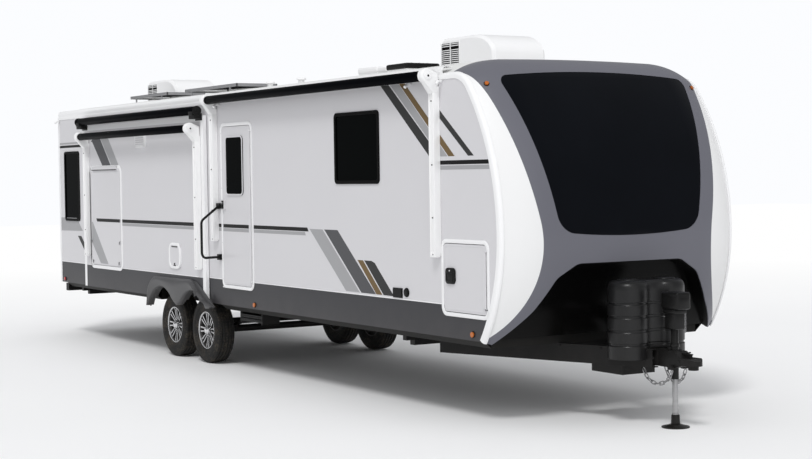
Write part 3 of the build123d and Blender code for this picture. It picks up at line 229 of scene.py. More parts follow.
def solar_glass():
    """Dark cells behind glass, with thin silver lines between them."""
    finish = surface("solar_cells", (0.008, 0.010, 0.020), 0.12, coat=0.3, vary=0.3, patches=6.0)
    waves, thinness = 2 * pi / 0.16, 40
    long_way = (finish.fore * waves).sine() ** thinness
    cross_way = (finish.left * waves).sine() ** thinness
    lines = finish.maths("MAXIMUM", long_way, cross_way).clamped()
    finish.wear(Base_Color=finish.blend(finish.paint, (0.25, 0.25, 0.27), lines))
    return finish


def tyre_rubber():
    """Black rubber, with dry brown dust in the tread."""
    finish = surface("tyre_rubber", (0.016, 0.016, 0.016), 0.72, vary=0.25, patches=5.0, depth=0.0006,
                     specular=0.25, strength=0.6)
    dusty = (finish.noise(9.0, 6.0) * finish.noise(60.0, 3.0) * 2.4 - 0.55).clamped()
    finish.wear(Base_Color=finish.blend(finish.paint, TREAD_DUST, dusty))
    return finish


# Painted shade: the side walls' gelcoat is a darker copy of the nose's white gelcoat.
shaded_white_gelcoat = surface("shaded_white_gelcoat", SHADED_SIDE_WHITE, 0.36, coat=0.04, vary=0.012, grain=350, specular=0.18)
finishes = {
    "gelcoat": banded(shaded_white_gelcoat, WAIST_GREY, WAIST_TOP),
    # The nose's white gelcoat at its own level, lighter than the walls' copy, which carries painted shade.
    "nose_white": surface("nose_white_gelcoat", (0.80, 0.80, 0.80), 0.38, coat=0.1, vary=0.012, grain=300,
                          specular=0.3, strength=0.05),
    "nose_grey": surface("nose_grey_gelcoat", NOSE_GREY, 0.36, coat=0.1, vary=0.04, grain=300, specular=0.3),
    "nose_glass": surface("nose_black_glass", (0.0035, 0.0042, 0.006), 0.08, vary=0.3, grain=60, depth=0.0003,
                          specular=0.07),
    "recess": surface("recess_black_moulding", (0.0022, 0.0022, 0.0022), 0.24, vary=0.3, grain=500, dust=0.02,
                      specular=0.08),
    "glass": surface("tinted_window_glass", (0.001, 0.0015, 0.0015), 0.06, vary=0.3, grain=40, specular=0.02),
    "window_frame": surface("black_window_frame", (0.002, 0.002, 0.002), 0.45, vary=0.2, specular=0.05),
    # Painted shade: the doors take the walls' darker white.
    "door": surface("shaded_white_door_skin", SHADED_SIDE_WHITE, 0.34, coat=0.1, vary=0.012, grain=400, specular=0.3),
    "trim": surface("white_trim", SATIN_WHITE, 0.38, vary=0.02, dust=0.05, strength=0.04, specular=0.3),
    "roof": surface("white_roof_membrane", (0.74, 0.74, 0.73), 0.75, vary=0.06, patches=3.0, grain=250,
                    depth=0.0006),
    "black_paint": surface("black_chassis_paint", (0.006, 0.006, 0.0065), 0.42, vary=0.3, dust=0.05,
                           dust_up=0.9, specular=0.2),
    "black_plastic": surface("black_moulded_plastic", (0.007, 0.007, 0.007), 0.5, vary=0.25, grain=1400,
                             dust=0.03, specular=0.2),
    "gas_plastic": surface("satin_black_plastic", (0.010, 0.010, 0.0105), 0.34, vary=0.2, dust=0.02,
                           specular=0.35),
    "jack_black": surface("gloss_black_cover", (0.006, 0.006, 0.006), 0.30, vary=0.2, dust=0.02,
                          specular=0.25),
    "underbelly": surface("black_underbelly_sheet", (0.008, 0.008, 0.008), 0.62, vary=0.3, grain=300,
                          depth=0.001, dust=0.06, specular=0.2),
    "fender": surface("grey_moulded_fender", (0.068, 0.068, 0.071), 0.42, vary=0.10, grain=700, depth=0.0004,
                      dust=0.10, dust_up=0.95),
    "awning_white": surface("white_powder_coat", (0.90, 0.90, 0.90), 0.35, vary=0.015, grain=1200),
    "fabric": surface("black_awning_vinyl", (0.0012, 0.0015, 0.0025), 0.42, vary=0.25, grain=1500,
                      depth=0.0003, specular=0.015, strength=0.3),
    "board": surface("floor_board", (0.25, 0.19, 0.13), 0.7, vary=0.2, patches=8.0, grain=200, depth=0.001),
    "zinc": surface("zinc_plate", (0.46, 0.46, 0.47), 0.34, metal=1.0, vary=0.15, patches=30.0, dust=0.1),
    "chrome": surface("chrome_plate", (0.72, 0.72, 0.73), 0.10, metal=1.0, vary=0.05, patches=12.0),
    "machined": surface("machined_alloy", (0.62, 0.62, 0.63), 0.24, metal=1.0, vary=0.10, patches=20.0,
                        grain=700),
    "wheel_dark": surface("dark_wheel_paint", (0.020, 0.020, 0.022), 0.35, coat=0.3, vary=0.2, dust=0.10),
    "amber": surface("amber_lens", (0.48, 0.12, 0.008), 0.22, coat=0.2, vary=0.10, patches=40.0),
    "red": surface("red_lens", (0.42, 0.01, 0.01), 0.18, coat=0.5, vary=0.10, patches=40.0),
    "film_black": surface("black_stripe_film", (0.003, 0.003, 0.003), 0.35, vary=0.15, specular=0.15),
    "film_dark": surface("dark_grey_stripe_film", (0.080, 0.080, 0.086), 0.35, vary=0.05, specular=0.2),
    "film_grey": surface("light_grey_stripe_film", (0.36, 0.36, 0.37), 0.35, vary=0.03, specular=0.2),
    "film_tan": surface("tan_stripe_film", (0.155, 0.100, 0.040), 0.35, vary=0.06, specular=0.2),
    "film_coal": surface("charcoal_stripe_film", (0.034, 0.034, 0.034), 0.35, vary=0.08, specular=0.15),
    "alloy": surface("anodised_alloy", (0.32, 0.32, 0.33), 0.42, metal=0.4, vary=0.08, patches=12.0),
    "solar": solar_glass(),
    "tyre": tyre_rubber(),
}
NODE_FINISHES = {
    "underbelly": "underbelly", "slide_hatches": "door",
    "curb_baggage_door": "door", "road_baggage_door": "door",
}
SLOT_FINISHES = {
    "wall_white": "gelcoat", "nose_grey": "nose_grey", "nose_white": "nose_white", "nose_dark": "nose_glass",
    "recess_black": "recess", "trim_white": "trim", "roof_white": "roof", "window_glass": "glass",
    "window_frame": "window_frame", "door_white": "door", "black_paint": "black_paint",
    "black_plastic": "black_plastic", "fender_grey": "fender", "awning_white": "awning_white",
    "awning_fabric": "fabric", "solar": "solar", "floor_board": "board", "galvanised": "zinc",
    "tyre_rubber": "tyre", "rim_alloy": "machined", "lamp_amber": "amber", "lamp_red": "red",
}


def finish_nodes():
    """Gives every CAD node its own finish, or else the finish of its slot in the record."""
    for part in frame["record"]["subparts"]:
        finish = finishes[NODE_FINISHES.get(part["node"], SLOT_FINISHES[part["material_slot"]])]
        mesh = nodes[part["node"]].data
        if not mesh.materials:
            mesh.materials.append(finish.material)
        for place in range(len(mesh.materials)):
            mesh.materials[place] = finish.material


# Mesh building
def show(name, mesh, body, finish, stands_for=(), smooth=35):
    """Turns a finished bmesh into a piece that rides on a body."""
    bmesh.ops.recalc_face_normals(mesh, faces=mesh.faces)
    for face in mesh.faces:
        face.smooth = True
    data = bpy.data.meshes.new(name)
    mesh.to_mesh(data)
    mesh.free()
    data.set_sharp_from_angle(angle=radians(smooth))
    data.materials.append(finishes[finish].material)
    made = bpy.data.objects.new(name, data)
    bpy.context.scene.collection.objects.link(made)
    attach(made, body)
    if stands_for:
        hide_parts(*stands_for)


def once(items):
    """Each item once, in the order of its first place."""
    return list(dict.fromkeys(items))


def soften(mesh, edges, amount, segments=2):
    """Bevels edges by an amount in millimetres."""
    bmesh.ops.bevel(mesh, geom=edges, offset=amount / 1000, affect="EDGES", segments=segments, profile=0.5,
                    material=-1)


def flat(mesh, points):
    """One face through points."""
    return mesh.faces.new([mesh.verts.new(point) for point in points])


def thicken(mesh, faces, way):
    """Draws faces out along a direction and gives back the far ones."""
    made = bmesh.ops.extrude_face_region(mesh, geom=list(faces), use_keep_orig=True)["geom"]
    moved = [item for item in made if isinstance(item, bmesh.types.BMVert)]
    bmesh.ops.translate(mesh, verts=moved, vec=way)
    return [item for item in made if isinstance(item, bmesh.types.BMFace)]


def block(mesh, low, high, soft, segments=2):
    """A bevelled block between two corners, in millimetres."""
    first, last = spot(*low), spot(*high)
    middle, size = (first + last) / 2, last - first
    shape = Matrix.Translation(middle) @ Matrix.Diagonal((abs(size.x), abs(size.y), abs(size.z), 1))
    made = bmesh.ops.create_cube(mesh, size=1, matrix=shape)["verts"]
    if soft:
        soften(mesh, once(edge for vert in made for edge in vert.link_edges), soft, segments)


def disc(mesh, centre, way, radius, depth, soft, sides, tip=None):
    """A round piece that starts at a place and runs a depth along a direction."""
    way = Vector(way).normalized()
    turn = way.to_track_quat("Z", "Y").to_matrix().to_4x4()
    shape = Matrix.Translation(spot(*centre) + way * depth / 2000) @ turn
    far = radius if tip is None else tip
    made = bmesh.ops.create_cone(mesh, cap_ends=True, segments=sides, radius1=radius / 1000,
                                 radius2=far / 1000, depth=depth / 1000, matrix=shape)["verts"]
    ends = once(face for vert in made for face in vert.link_faces if len(face.verts) == sides)
    soften(mesh, once(edge for face in ends for edge in face.edges), soft)


def upright(outline, left):
    """Places on a side wall, from an outline of (fore, up)."""
    return [spot(fore, left, up) for fore, up in outline]


def rounded(mesh, size, corner, left):
    """A flat rounded rectangle standing on a side wall, given back as its faces."""
    before = set(mesh.faces)
    low_fore, low_up, high_fore, high_up = size
    outline = [(low_fore, low_up), (high_fore, low_up), (high_fore, high_up), (low_fore, high_up)]
    face = flat(mesh, upright(outline, left))
    bmesh.ops.bevel(mesh, geom=list(face.verts), offset=corner / 1000, affect="VERTICES", segments=6,
                    profile=0.5, material=-1)
    return [item for item in mesh.faces if item not in before]


def side_panel(mesh, size, corner, left, proud, soft):
    """A rounded panel that stands out from a side wall."""
    faces = rounded(mesh, size, corner, left)
    front = thicken(mesh, faces, Vector((0, proud / 1000 * outward(left), 0)))
    soften(mesh, once(edge for face in front for edge in face.edges), soft)


def side_ring(mesh, size, corner, width, left, proud, soft):
    """A rounded frame that stands out from a side wall."""
    inner = rounded(mesh, size, corner, left)
    frame_faces = bmesh.ops.inset_individual(mesh, faces=inner, thickness=width / 1000, depth=0,
                                             use_even_offset=True)["faces"]
    bmesh.ops.delete(mesh, geom=inner, context="FACES")
    front = thicken(mesh, frame_faces, Vector((0, proud / 1000 * outward(left), 0)))
    edges = once(edge for face in front for edge in face.edges)
    soften(mesh, [edge for edge in edges if any(other not in front for other in edge.link_faces)], soft)


def on_side(mesh, size, left, proud, soft):
    """A bevelled bar that stands on a side wall, from (fore, up) low to high."""
    block(mesh, (size[0], left, size[1]), (size[2], left + outward(left) * proud, size[3]), soft)


def studs(mesh, places, left, radius, proud, sides=12):
    """Round heads that stand out from a side wall."""
    for fore, up in places:
        disc(mesh, (fore, left, up), (0, outward(left), 0), radius, proud, 1, sides)


def lathe(mesh, profile, centre, side, steps=64):
    """Spins a closed profile of (out, radius) about a wheel's axle, which runs across the trailer."""
    points = [spot(centre[0], centre[1] + side * out, centre[2] + radius) for out, radius in profile]
    verts = [mesh.verts.new(point) for point in points]
    edges = [mesh.edges.new(pair) for pair in zip(verts, verts[1:])]
    edges.append(mesh.edges.new((verts[-1], verts[0])))
    bmesh.ops.spin(mesh, geom=verts + edges, cent=spot(*centre), axis=(0, 1, 0), dvec=(0, 0, 0), angle=2 * pi,
                   steps=steps, use_merge=True, use_normal_flip=False, use_duplicate=False)


def ring(mesh, middle, way, reach, bar, half_wide, turned):
    """One chain link: a thin ring of round bar, drawn out along a direction."""
    start, barely = set(mesh.verts), 1e-6
    across = Matrix.Translation((half_wide / 1000, 0, 0)) @ Matrix.Rotation(pi / 2, 4, "X")
    circle = bmesh.ops.create_circle(mesh, segments=8, radius=bar / 1000, matrix=across)["verts"]
    edges = once(edge for vert in circle for edge in vert.link_edges)
    bmesh.ops.spin(mesh, geom=circle + edges, cent=(0, 0, 0), axis=(0, 0, 1), dvec=(0, 0, 0), angle=2 * pi,
                   steps=16, use_merge=True, use_normal_flip=False, use_duplicate=False)
    made = [vert for vert in mesh.verts if vert not in start]
    draw = (reach - half_wide) / 1000
    for vert in made:
        vert.co.y += draw if vert.co.y > barely else -draw if vert.co.y < -barely else 0
    turn = Vector(way).to_track_quat("Y", "Z").to_matrix().to_4x4()
    roll_over = Matrix.Rotation(pi / 2 if turned else 0, 4, "Y")
    bmesh.ops.transform(mesh, matrix=Matrix.Translation(middle) @ turn @ roll_over, verts=made)


def evenly(points, count):
    """Points spread evenly by length along a chain of points."""
    lengths = [0]
    for (fore, up), (next_fore, next_up) in zip(points, points[1:]):
        lengths.append(lengths[-1] + sqrt((next_fore - fore) ** 2 + (next_up - up) ** 2))
    spread = []
    for number in range(count):
        wanted, place = lengths[-1] * number / (count - 1), 1
        while place < len(points) - 1 and lengths[place] < wanted:
            place += 1
        part = (wanted - lengths[place - 1]) / (lengths[place] - lengths[place - 1])
        first, second = points[place - 1], points[place]
        spread.append((first[0] + (second[0] - first[0]) * part, first[1] + (second[1] - first[1]) * part))
    return spread


def arc(middle, radius, first, last):
    """Points along an arc between two angles in degrees."""
    steps = 16
    turns = [radians(first + (last - first) * number / steps) for number in range(steps + 1)]
    return [(middle[0] + radius * cos(turn), middle[1] + radius * sin(turn)) for turn in turns]


def bridged(mesh, lines):
    """Joins chains of points, each with its neighbour, into one sheet."""
    chains = []
    for line in lines:
        verts = [mesh.verts.new(point) for point in line]
        chains.append([mesh.edges.new(pair) for pair in zip(verts, verts[1:])])
    for first, second in zip(chains, chains[1:]):
        bmesh.ops.bridge_loops(mesh, edges=first + second)


# Stripes: thin film on the walls, the slide-out room and the doors, each an outline of (fore, up)
def bar(film, first_up, last_up, *fores):
    """A film's name and its four-cornered outline, two corners at each height."""
    return film, list(zip(fores, (first_up, first_up, last_up, last_up)))


DIAGONALS = [
    bar("film_grey", 1530, 975, 3031, 3289, 3977, 3725),
    bar("film_dark", 1531, 975, 3323, 3578, 4262, 4004),
    bar("film_tan", 1269, 975, 3941, 4040, 4375, 4271),
    ("film_coal", [(4063, 1269), (4190, 1269), (4250, 1252), (4300, 1207), (4563, 983), (4555, 975),
                   (4396, 975)]),
    bar("film_coal", 2829, 2180, 4377, 4514, 5337, 5180),
    bar("film_grey", 2827, 2180, 4539, 4682, 5455, 5352),
    bar("film_tan", 2825, 2180, 4694, 4785, 5562, 5470),
    ("film_coal", [(5312, 2590), (5312, 2520), (5758, 2180), (5841, 2180)]),
]
FRONT_LINES = [
    bar("film_black", 2112, 2146, 5312, 6052, 6046, 5312),
    bar("film_grey", 2070, 2104, 5312, 6058, 6054, 5312),
]
REAR_MARKS = [
    bar("film_black", 2446, 2478, -3922, -2942, -2942, -3922),
    bar("film_grey", 2492, 2514, -3922, -2942, -2942, -3922),
    ("film_grey", [(-3922, 1362), (-3113, 1372), (-3335, 1535), (-3922, 1535)]),
    ("film_coal", [(-3300, 1306), (-2942, 1030), (-2942, 1122), (-3175, 1306)]),
]
MARKS = {
    "curb": ("trailer", -HALF_WIDTH, DIAGONALS + FRONT_LINES + REAR_MARKS + [
        bar("film_black", 1505, 1542, 990, 1068, 1068, 990),
        bar("film_grey", 1466, 1499, 990, 1068, 1068, 990),
        bar("film_black", 1505, 1542, 1832, 3012, 2986, 1832),
        bar("film_grey", 1466, 1499, 1832, 2956, 2936, 1832),
    ]),
    "road": ("trailer", HALF_WIDTH, DIAGONALS + FRONT_LINES + REAR_MARKS[:3] + [
        bar("film_black", 1505, 1542, -2400, 3012, 2986, -2426),
        bar("film_grey", 1466, 1499, -2400, 2956, 2936, -2424),
    ]),
    "slide": ("slide_out", -SLIDE_FACE, [
        bar("film_black", 1506, 1545, -1662, 586, 586, -1662),
        bar("film_grey", 1468, 1500, -1662, 586, 586, -1662),
        ("film_dark", [(-2644, 2500), (-2560, 2546), (-2340, 2546), (-1981, 2196), (-2258, 2196),
                       (-2600, 2500)]),
        bar("film_grey", 2546, 2196, -2323, -2070, -1726, -1956),
    ]),
    "kitchen": ("kitchen_leaf", -KITCHEN_FACE, [
        bar("film_black", 1506, 1545, -2474, -1694, -1694, -2496),
        ("film_grey", [(-2658, 1500), (-2627, 1500), (-2116, 990), (-2371, 990), (-2658, 1245)]),
    ]),
    "entry": ("entry_leaf", -ENTRY_FACE, [
        bar("film_black", 1505, 1542, 1118, 1782, 1782, 1118),
        bar("film_grey", 1466, 1499, 1118, 1782, 1782, 1118),
    ]),
}


def stripes():
    """Each film's outlines on a place, joined into one piece."""
    for place, (body, left, marks) in MARKS.items():
        out = Vector((0, FILM / 1000 * outward(left), 0))
        for film in sorted({film for film, outline in marks}):
            mesh = bmesh.new()
            for shown, outline in marks:
                if shown == film:
                    thicken(mesh, [flat(mesh, upright(outline, left))], out)
            show(f"{place}_{film}", mesh, body, film)


# Wheels
WHEELS = {
    "curb_rear": (-428, -1045), "curb_front": (428, -1045),
    "road_rear": (-428, 1045), "road_front": (428, 1045),
}
AXLE_UP = 359
GROOVES = (-56, -19, 19, 56)
SPOKES = 8


def tyre(name, fore, left):
    """A tyre with four grooves, and tread blocks raised from its crown."""
    centre = (fore, left, AXLE_UP)
    crown = [(-87, 347)]
    groove_shape = ((-5, 354), (-4, 347), (4, 347), (5, 354))
    for groove in GROOVES:
        drop = abs(groove) * 0.04
        crown += [(groove + step, radius - drop) for step, radius in groove_shape]
    crown += [(87, 347)]
    flank = [(98, 333), (103, 322), (101, 318), (106, 300), (107, 275), (105, 262), (102, 260), (98, 232),
             (90, 214), (84, 208), (80, 200)]
    profile = [(-out, radius) for out, radius in reversed(flank)] + crown + flank
    mesh = bmesh.new()
    lathe(mesh, profile, centre, outward(left), 72)
    middle = spot(*centre)
    tread_radius, tread_half_width, steepest = 348, 86, 0.35
    tread = []
    for face in mesh.faces:
        way = face.calc_center_median() - middle
        out, radius = abs(way.y) * 1000, sqrt(way.x ** 2 + way.z ** 2) * 1000
        if radius > tread_radius and abs(face.normal.y) < steepest and out < tread_half_width:
            tread.append(face)
    narrower, raised = 0.0025, 0.0045
    bmesh.ops.inset_individual(mesh, faces=tread, thickness=narrower, depth=0, use_even_offset=True)
    for face in tread:
        for vert in face.verts:
            way = vert.co - middle
            reach = sqrt(way.x ** 2 + way.z ** 2)
            lift = (reach + raised) / reach
            vert.co = middle + Vector((way.x * lift, way.y, way.z * lift))
    show(f"tyre_{name}_tread", mesh, f"wheel_{name}", "tyre", [f"tyre_{name}"], smooth=30)


def spoke(mesh, centre, side, number, lean, low, high, narrow):
    """One half of a double spoke, its head set further out than its foot."""
    half_in, half_out = 6.5 - narrow, 9.5 - narrow
    head_start, head_out = 0.15, 0.014
    foot = [(lean * 13 - half_in, 58), (lean * 13 + half_in, 58)]
    head = [(lean * 25 + half_out, 190), (lean * 25 - half_out, 190)]
    start = set(mesh.verts)
    points = [Vector((across / 1000, side * low / 1000, along / 1000)) for across, along in foot + head]
    face = flat(mesh, points)
    thicken(mesh, [face], Vector((0, side * (high - low) / 1000, 0)))
    made = [vert for vert in mesh.verts if vert not in start]
    for vert in made:
        if vert.co.z > head_start:
            vert.co.y += side * head_out
    turn = Matrix.Rotation(2 * pi * number / SPOKES, 4, "Y")
    bmesh.ops.transform(mesh, matrix=Matrix.Translation(spot(*centre)) @ turn, verts=made)


def rim(name, fore, left):
    """A wheel's barrel, lip, double spokes with machined faces, and its cap and nuts."""
    side, centre, body = outward(left), (fore, left, AXLE_UP), f"wheel_{name}"
    mesh = bmesh.new()
    barrel = [(-84, 203), (-84, 194), (-74, 188), (-20, 180), (40, 182), (66, 188), (76, 193), (83, 196),
              (84, 203)]
    lathe(mesh, barrel, centre, side)
    lathe(mesh, [(-80, 139), (-26, 139), (-24, 134), (-24, 40), (-80, 40)], centre, side, 48)
    lathe(mesh, [(24, 24), (24, 74), (50, 70), (54, 62), (54, 24)], centre, side, 48)
    show(f"rim_{name}_barrel", mesh, body, "wheel_dark", [f"rim_{name}"])
    mesh = bmesh.new()
    lathe(mesh, [(78, 190), (84, 195), (85, 203), (80, 204), (76, 196)], centre, side)
    show(f"rim_{name}_lip", mesh, body, "machined")
    for finish, low, high, narrow in (("wheel_dark", 22, 56, 0), ("machined", 56, 59, 1.2)):
        mesh = bmesh.new()
        for number in range(SPOKES):
            for lean in (-1, 1):
                spoke(mesh, centre, side, number, lean, low, high, narrow)
        if finish == "wheel_dark":
            soften(mesh, list(mesh.edges), 1.5, 1)
        show(f"rim_{name}_spokes_{finish}", mesh, body, finish)
    mesh = bmesh.new()
    cap = [(50, 0.5), (50, 49), (76, 48), (82, 45), (85, 38), (94, 34), (98, 26), (98, 0.5)]
    lathe(mesh, cap, centre, side, 48)
    nuts, nut_circle = 6, 57
    for number in range(nuts):
        angle = 2 * pi * (number + 0.5) / nuts
        place = (fore + nut_circle * cos(angle), left + side * 52, AXLE_UP + nut_circle * sin(angle))
        disc(mesh, place, (0, side, 0), 10, 16, 1.5, 6, tip=8)
    show(f"rim_{name}_cap", mesh, body, "chrome")


# Doors and hatches
def entry_door_details():
    """The entry door's window bezel, skin bead, frame beads, screws and lock."""
    mesh = bmesh.new()
    side_ring(mesh, (1221, 1844, 1629, 2461), 50, 15, -(ENTRY_FACE + 8), 5, 2)
    side_ring(mesh, (1128, 921, 1772, 2547), 60, 7, -ENTRY_FACE, 1.6, 0.8)
    show("entry_window_bezel", mesh, "entry_leaf", "door")
    mesh = bmesh.new()
    side_ring(mesh, (1083, 876, 1817, 2592), 78, 8, -ENTRY_FRAME, 3, 1)
    on_side(mesh, (1788, 960, 1796, 2500), -ENTRY_FRAME, 4, 1.2)
    on_side(mesh, (1110, 872, 1790, 886), -ENTRY_FRAME, 14, 3)
    show("entry_frame_beads", mesh, "trailer", "trim")
    mesh = bmesh.new()
    studs(mesh, [(1806, 960 + 128 * number) for number in range(13)], -ENTRY_FRAME, 4, 2)
    studs(mesh, [(1092, 960 + 192 * number) for number in range(9)], -ENTRY_FRAME, 4, 2)
    show("entry_frame_screws", mesh, "trailer", "zinc")
    mesh = bmesh.new()
    side_panel(mesh, (1138, 1702, 1186, 1788), 10, -(ENTRY_FACE + 22), 4, 1.5)
    on_side(mesh, (1148, 1716, 1176, 1748), -(ENTRY_FACE + 26), 8, 3)
    show("entry_lock_paddle", mesh, "entry_leaf", "black_plastic")
    mesh = bmesh.new()
    studs(mesh, [(1162, 1768)], -(ENTRY_FACE + 26), 9, 4, 20)
    show("entry_lock_barrel", mesh, "entry_leaf", "chrome")


def kitchen_door_details():
    """The outside kitchen's door frame, skin bead, hinge strip and latches."""
    mesh = bmesh.new()
    side_ring(mesh, (-2702, 923, -1640, 2198), 92, 20, -SLIDE_FACE, 6, 1.5)
    side_ring(mesh, (-2702, 941, -1658, 2182), 78, 20, -SLIDE_FACE, 6, 1.5)
    show("kitchen_door_frame", mesh, "slide_out", "trim")
    mesh = bmesh.new()
    side_ring(mesh, (-2664, 980, -1701, 2128), 56, 7, -KITCHEN_FACE, 1.6, 0.8)
    show("kitchen_door_bead", mesh, "kitchen_leaf", "door")
    mesh = bmesh.new()
    on_side(mesh, (-2596, 2139, -1769, 2149), -(KITCHEN_FACE + 14), 1.2, 0.4)
    show("kitchen_hinge_strip", mesh, "kitchen_leaf", "black_plastic")
    mesh = bmesh.new()
    for fore, up in ((-2630, 1012), (-1762, 1012), (-2660, 1262), (-1732, 1262)):
        on_side(mesh, (fore, up - 16, fore + 28, up + 16), -KITCHEN_FACE, 8, 2.5)
        on_side(mesh, (fore + 10, up - 26, fore + 18, up + 10), -(KITCHEN_FACE + 8), 7, 2)
    show("kitchen_door_latches", mesh, "kitchen_leaf", "zinc")


def baggage_door_details(side, name):
    """A baggage door's frame, skin bead, recessed latch and key."""
    wall, leaf, latch = side * HALF_WIDTH, side * (HALF_WIDTH + 2), side * (HALF_WIDTH + 19)
    mesh = bmesh.new()
    side_ring(mesh, (5346, 863, 6042, 1500), 74, 33, wall, 6, 2)
    show(f"{name}_baggage_frame", mesh, "trailer", "trim")
    mesh = bmesh.new()
    side_ring(mesh, (5398, 915, 5984, 1448), 34, 6, leaf, 1.8, 0.8)
    show(f"{name}_baggage_bead", mesh, f"{name}_baggage_leaf", "door")
    mesh = bmesh.new()
    side_panel(mesh, (5422, 1130, 5558, 1262), 34, leaf, 17, 4)
    side_ring(mesh, (5440, 1150, 5540, 1222), 14, 7, latch, 3, 1)
    show(f"{name}_baggage_latch", mesh, f"{name}_baggage_leaf", "black_plastic")
    mesh = bmesh.new()
    studs(mesh, [(5490, 1241)], latch, 8, 2, 20)
    show(f"{name}_baggage_key", mesh, f"{name}_baggage_leaf", "chrome")


def slide_hatch_details():
    """The slide-out room's small hatch and its louvred vent."""
    mesh = bmesh.new()
    side_ring(mesh, (-220, 1020, 95, 1310), 90, 32, -SLIDE_FACE, 17, 4)
    side_ring(mesh, (-1131, 2394, -849, 2556), 14, 14, -SLIDE_FACE, 31, 3)
    for number in range(5):
        up = 2414 + 25 * number
        on_side(mesh, (-1108, up, -872, up + 8), -(SLIDE_FACE + 28), 6, 1.5)
    show("slide_hatch_frames", mesh, "slide_out", "trim")
    mesh = bmesh.new()
    on_side(mesh, (-140, 1262, 15, 1272), -(SLIDE_FACE + 12), 5, 1.5)
    on_side(mesh, (-92, 1052, -32, 1062), -(SLIDE_FACE + 12), 6, 2)
    studs(mesh, [(-62, 1074)], -(SLIDE_FACE + 12), 10, 8, 18)
    show("slide_hatch_latch", mesh, "slide_out", "black_plastic")


# Awnings: body, node, feet of the arms, arm width, wall, head height, roller, and the head's inner place
ARMS = {
    "main": ("trailer", "main_awning_arms", ((924, 1356), (5271, 1343)), 75, HALF_WIDTH, 2700,
             MAIN_ROLLER, 1226),
    "slide": ("slide_out", "slide_awning_arms", ((-2775, 1070), (590, 1040)), 70, SLIDE_FACE, 2420,
              SLIDE_ROLLER, 1266),
}


def head_outline(fore, inner, low, roller_left, roller_up):
    """The drop-shaped cover over a roller's end, as places across the trailer."""
    turns, radius = [radians(turn) for turn in range(100, -70, -15)], 63
    around = [(roller_left + radius * cos(turn), roller_up + radius * sin(turn)) for turn in turns]
    outline = [(inner, low), (inner, roller_up + 22)] + around + [(inner + 66, low)]
    return [spot(fore, -left, up) for left, up in outline]


def awning_arms(name, body, node, places, width, wall, head_up, roller, inner):
    """An awning's two arms: channels, heads over the roller's ends, and rivets."""
    left, roller_left, roller_up = -wall, -roller[0], roller[1]
    mesh = bmesh.new()
    for fore, low in places:
        block(mesh, (fore, left, low + 14), (fore + width, left - 20, head_up + 60), 3)
        for edge in (fore, fore + width - 11):
            block(mesh, (edge, left - 18, low), (edge + 11, left - 66, head_up + 6), 4, 3)
        block(mesh, (fore + 9, left - 18, low + 22), (fore + width - 9, left - 58, head_up + 4), 3)
        block(mesh, (fore + 4, left - 6, low), (fore + width - 4, left - 62, low + 40), 5, 3)
        face = flat(mesh, head_outline(fore, inner, head_up, *roller))
        far = thicken(mesh, [face], Vector((width / 1000, 0, 0)))
        soften(mesh, once(edge for end in [face] + far for edge in end.edges), 15, 4)
        disc(mesh, (fore - 1, roller_left, roller_up), (-1, 0, 0), 34, 5, 2, 32)
        disc(mesh, (fore + width + 1, roller_left, roller_up), (1, 0, 0), 34, 5, 2, 32)
    show(f"{name}_arm_channels", mesh, body, "awning_white", [node], smooth=40)
    mesh = bmesh.new()
    for fore, low in places:
        middle = fore + width / 2
        ups = (low + 24, low + 330, (low + head_up) / 2 + 90, head_up - 60)
        studs(mesh, [(middle, up) for up in ups], -(wall + 58), 6, 6)
        disc(mesh, (fore - 5, roller_left, roller_up), (-1, 0, 0), 9, 4, 1.5, 16)
        disc(mesh, (fore + width + 5, roller_left, roller_up), (1, 0, 0), 9, 4, 1.5, 16)
    show(f"{name}_arm_rivets", mesh, body, "black_plastic")


def roll(mesh, start, end, roller, radius):
    """A rolled awning with the raised edge of its last turn of fabric."""
    left, up = -roller[0], roller[1]
    disc(mesh, (start, left, up), (1, 0, 0), radius, end - start, 2, 48)
    block(mesh, (start + 4, left - 14, up + radius - 6), (end - 4, left + 20, up + radius + 1), 1.5)
    for number in range(2):
        place = start + 30 + number * (end - start - 72)
        disc(mesh, (place, left, up), (1, 0, 0), radius + 1.5, 12, 1, 48)


def awning_rolls():
    """The main awning, the slide-out room's awning and its topper, all rolled up."""
    mesh = bmesh.new()
    roll(mesh, 1000, 5270, MAIN_ROLLER, 43)
    rail, outer, top = (-1226, 2852), -MAIN_ROLLER[0], MAIN_ROLLER[1] + 41
    face = flat(mesh, [spot(1010, *rail), spot(5260, *rail), spot(5260, outer, top), spot(1010, outer, top)])
    thicken(mesh, [face], Vector((0, 0, 0.004)))
    show("main_awning_fabric", mesh, "trailer", "fabric", ["main_awning_roller"])
    mesh = bmesh.new()
    roll(mesh, -2704, 589, SLIDE_ROLLER, 42)
    show("slide_awning_fabric", mesh, "slide_out", "fabric", ["slide_awning_roller"])
    mesh = bmesh.new()
    roll(mesh, -2904, 704, TOPPER_ROLLER, 45)
    show("topper_fabric", mesh, "slide_out", "fabric", ["topper_roller"])
    left, up = -TOPPER_ROLLER[0], TOPPER_ROLLER[1]
    mesh = bmesh.new()
    for fore, way in ((-2906, -1), (706, 1)):
        disc(mesh, (fore, left, up), (way, 0, 0), 52, 14, 5, 40)
        disc(mesh, (fore + way * 14, left, up), (way, 0, 0), 20, 6, 2, 24)
        low, high = sorted((fore + way * 10, fore - way * 150))
        block(mesh, (low, -SLIDE_FACE, 2664), (high, -1352, 2716), 8, 3)
        block(mesh, (low + 24, -1340, 2700), (high - 24, -1368, 2746), 6, 3)
        block(mesh, (low - 4, -(SLIDE_FACE + 1), 2648), (high + 4, -(SLIDE_FACE + 9), 2726), 3)
    show("topper_end_caps", mesh, "slide_out", "black_plastic")


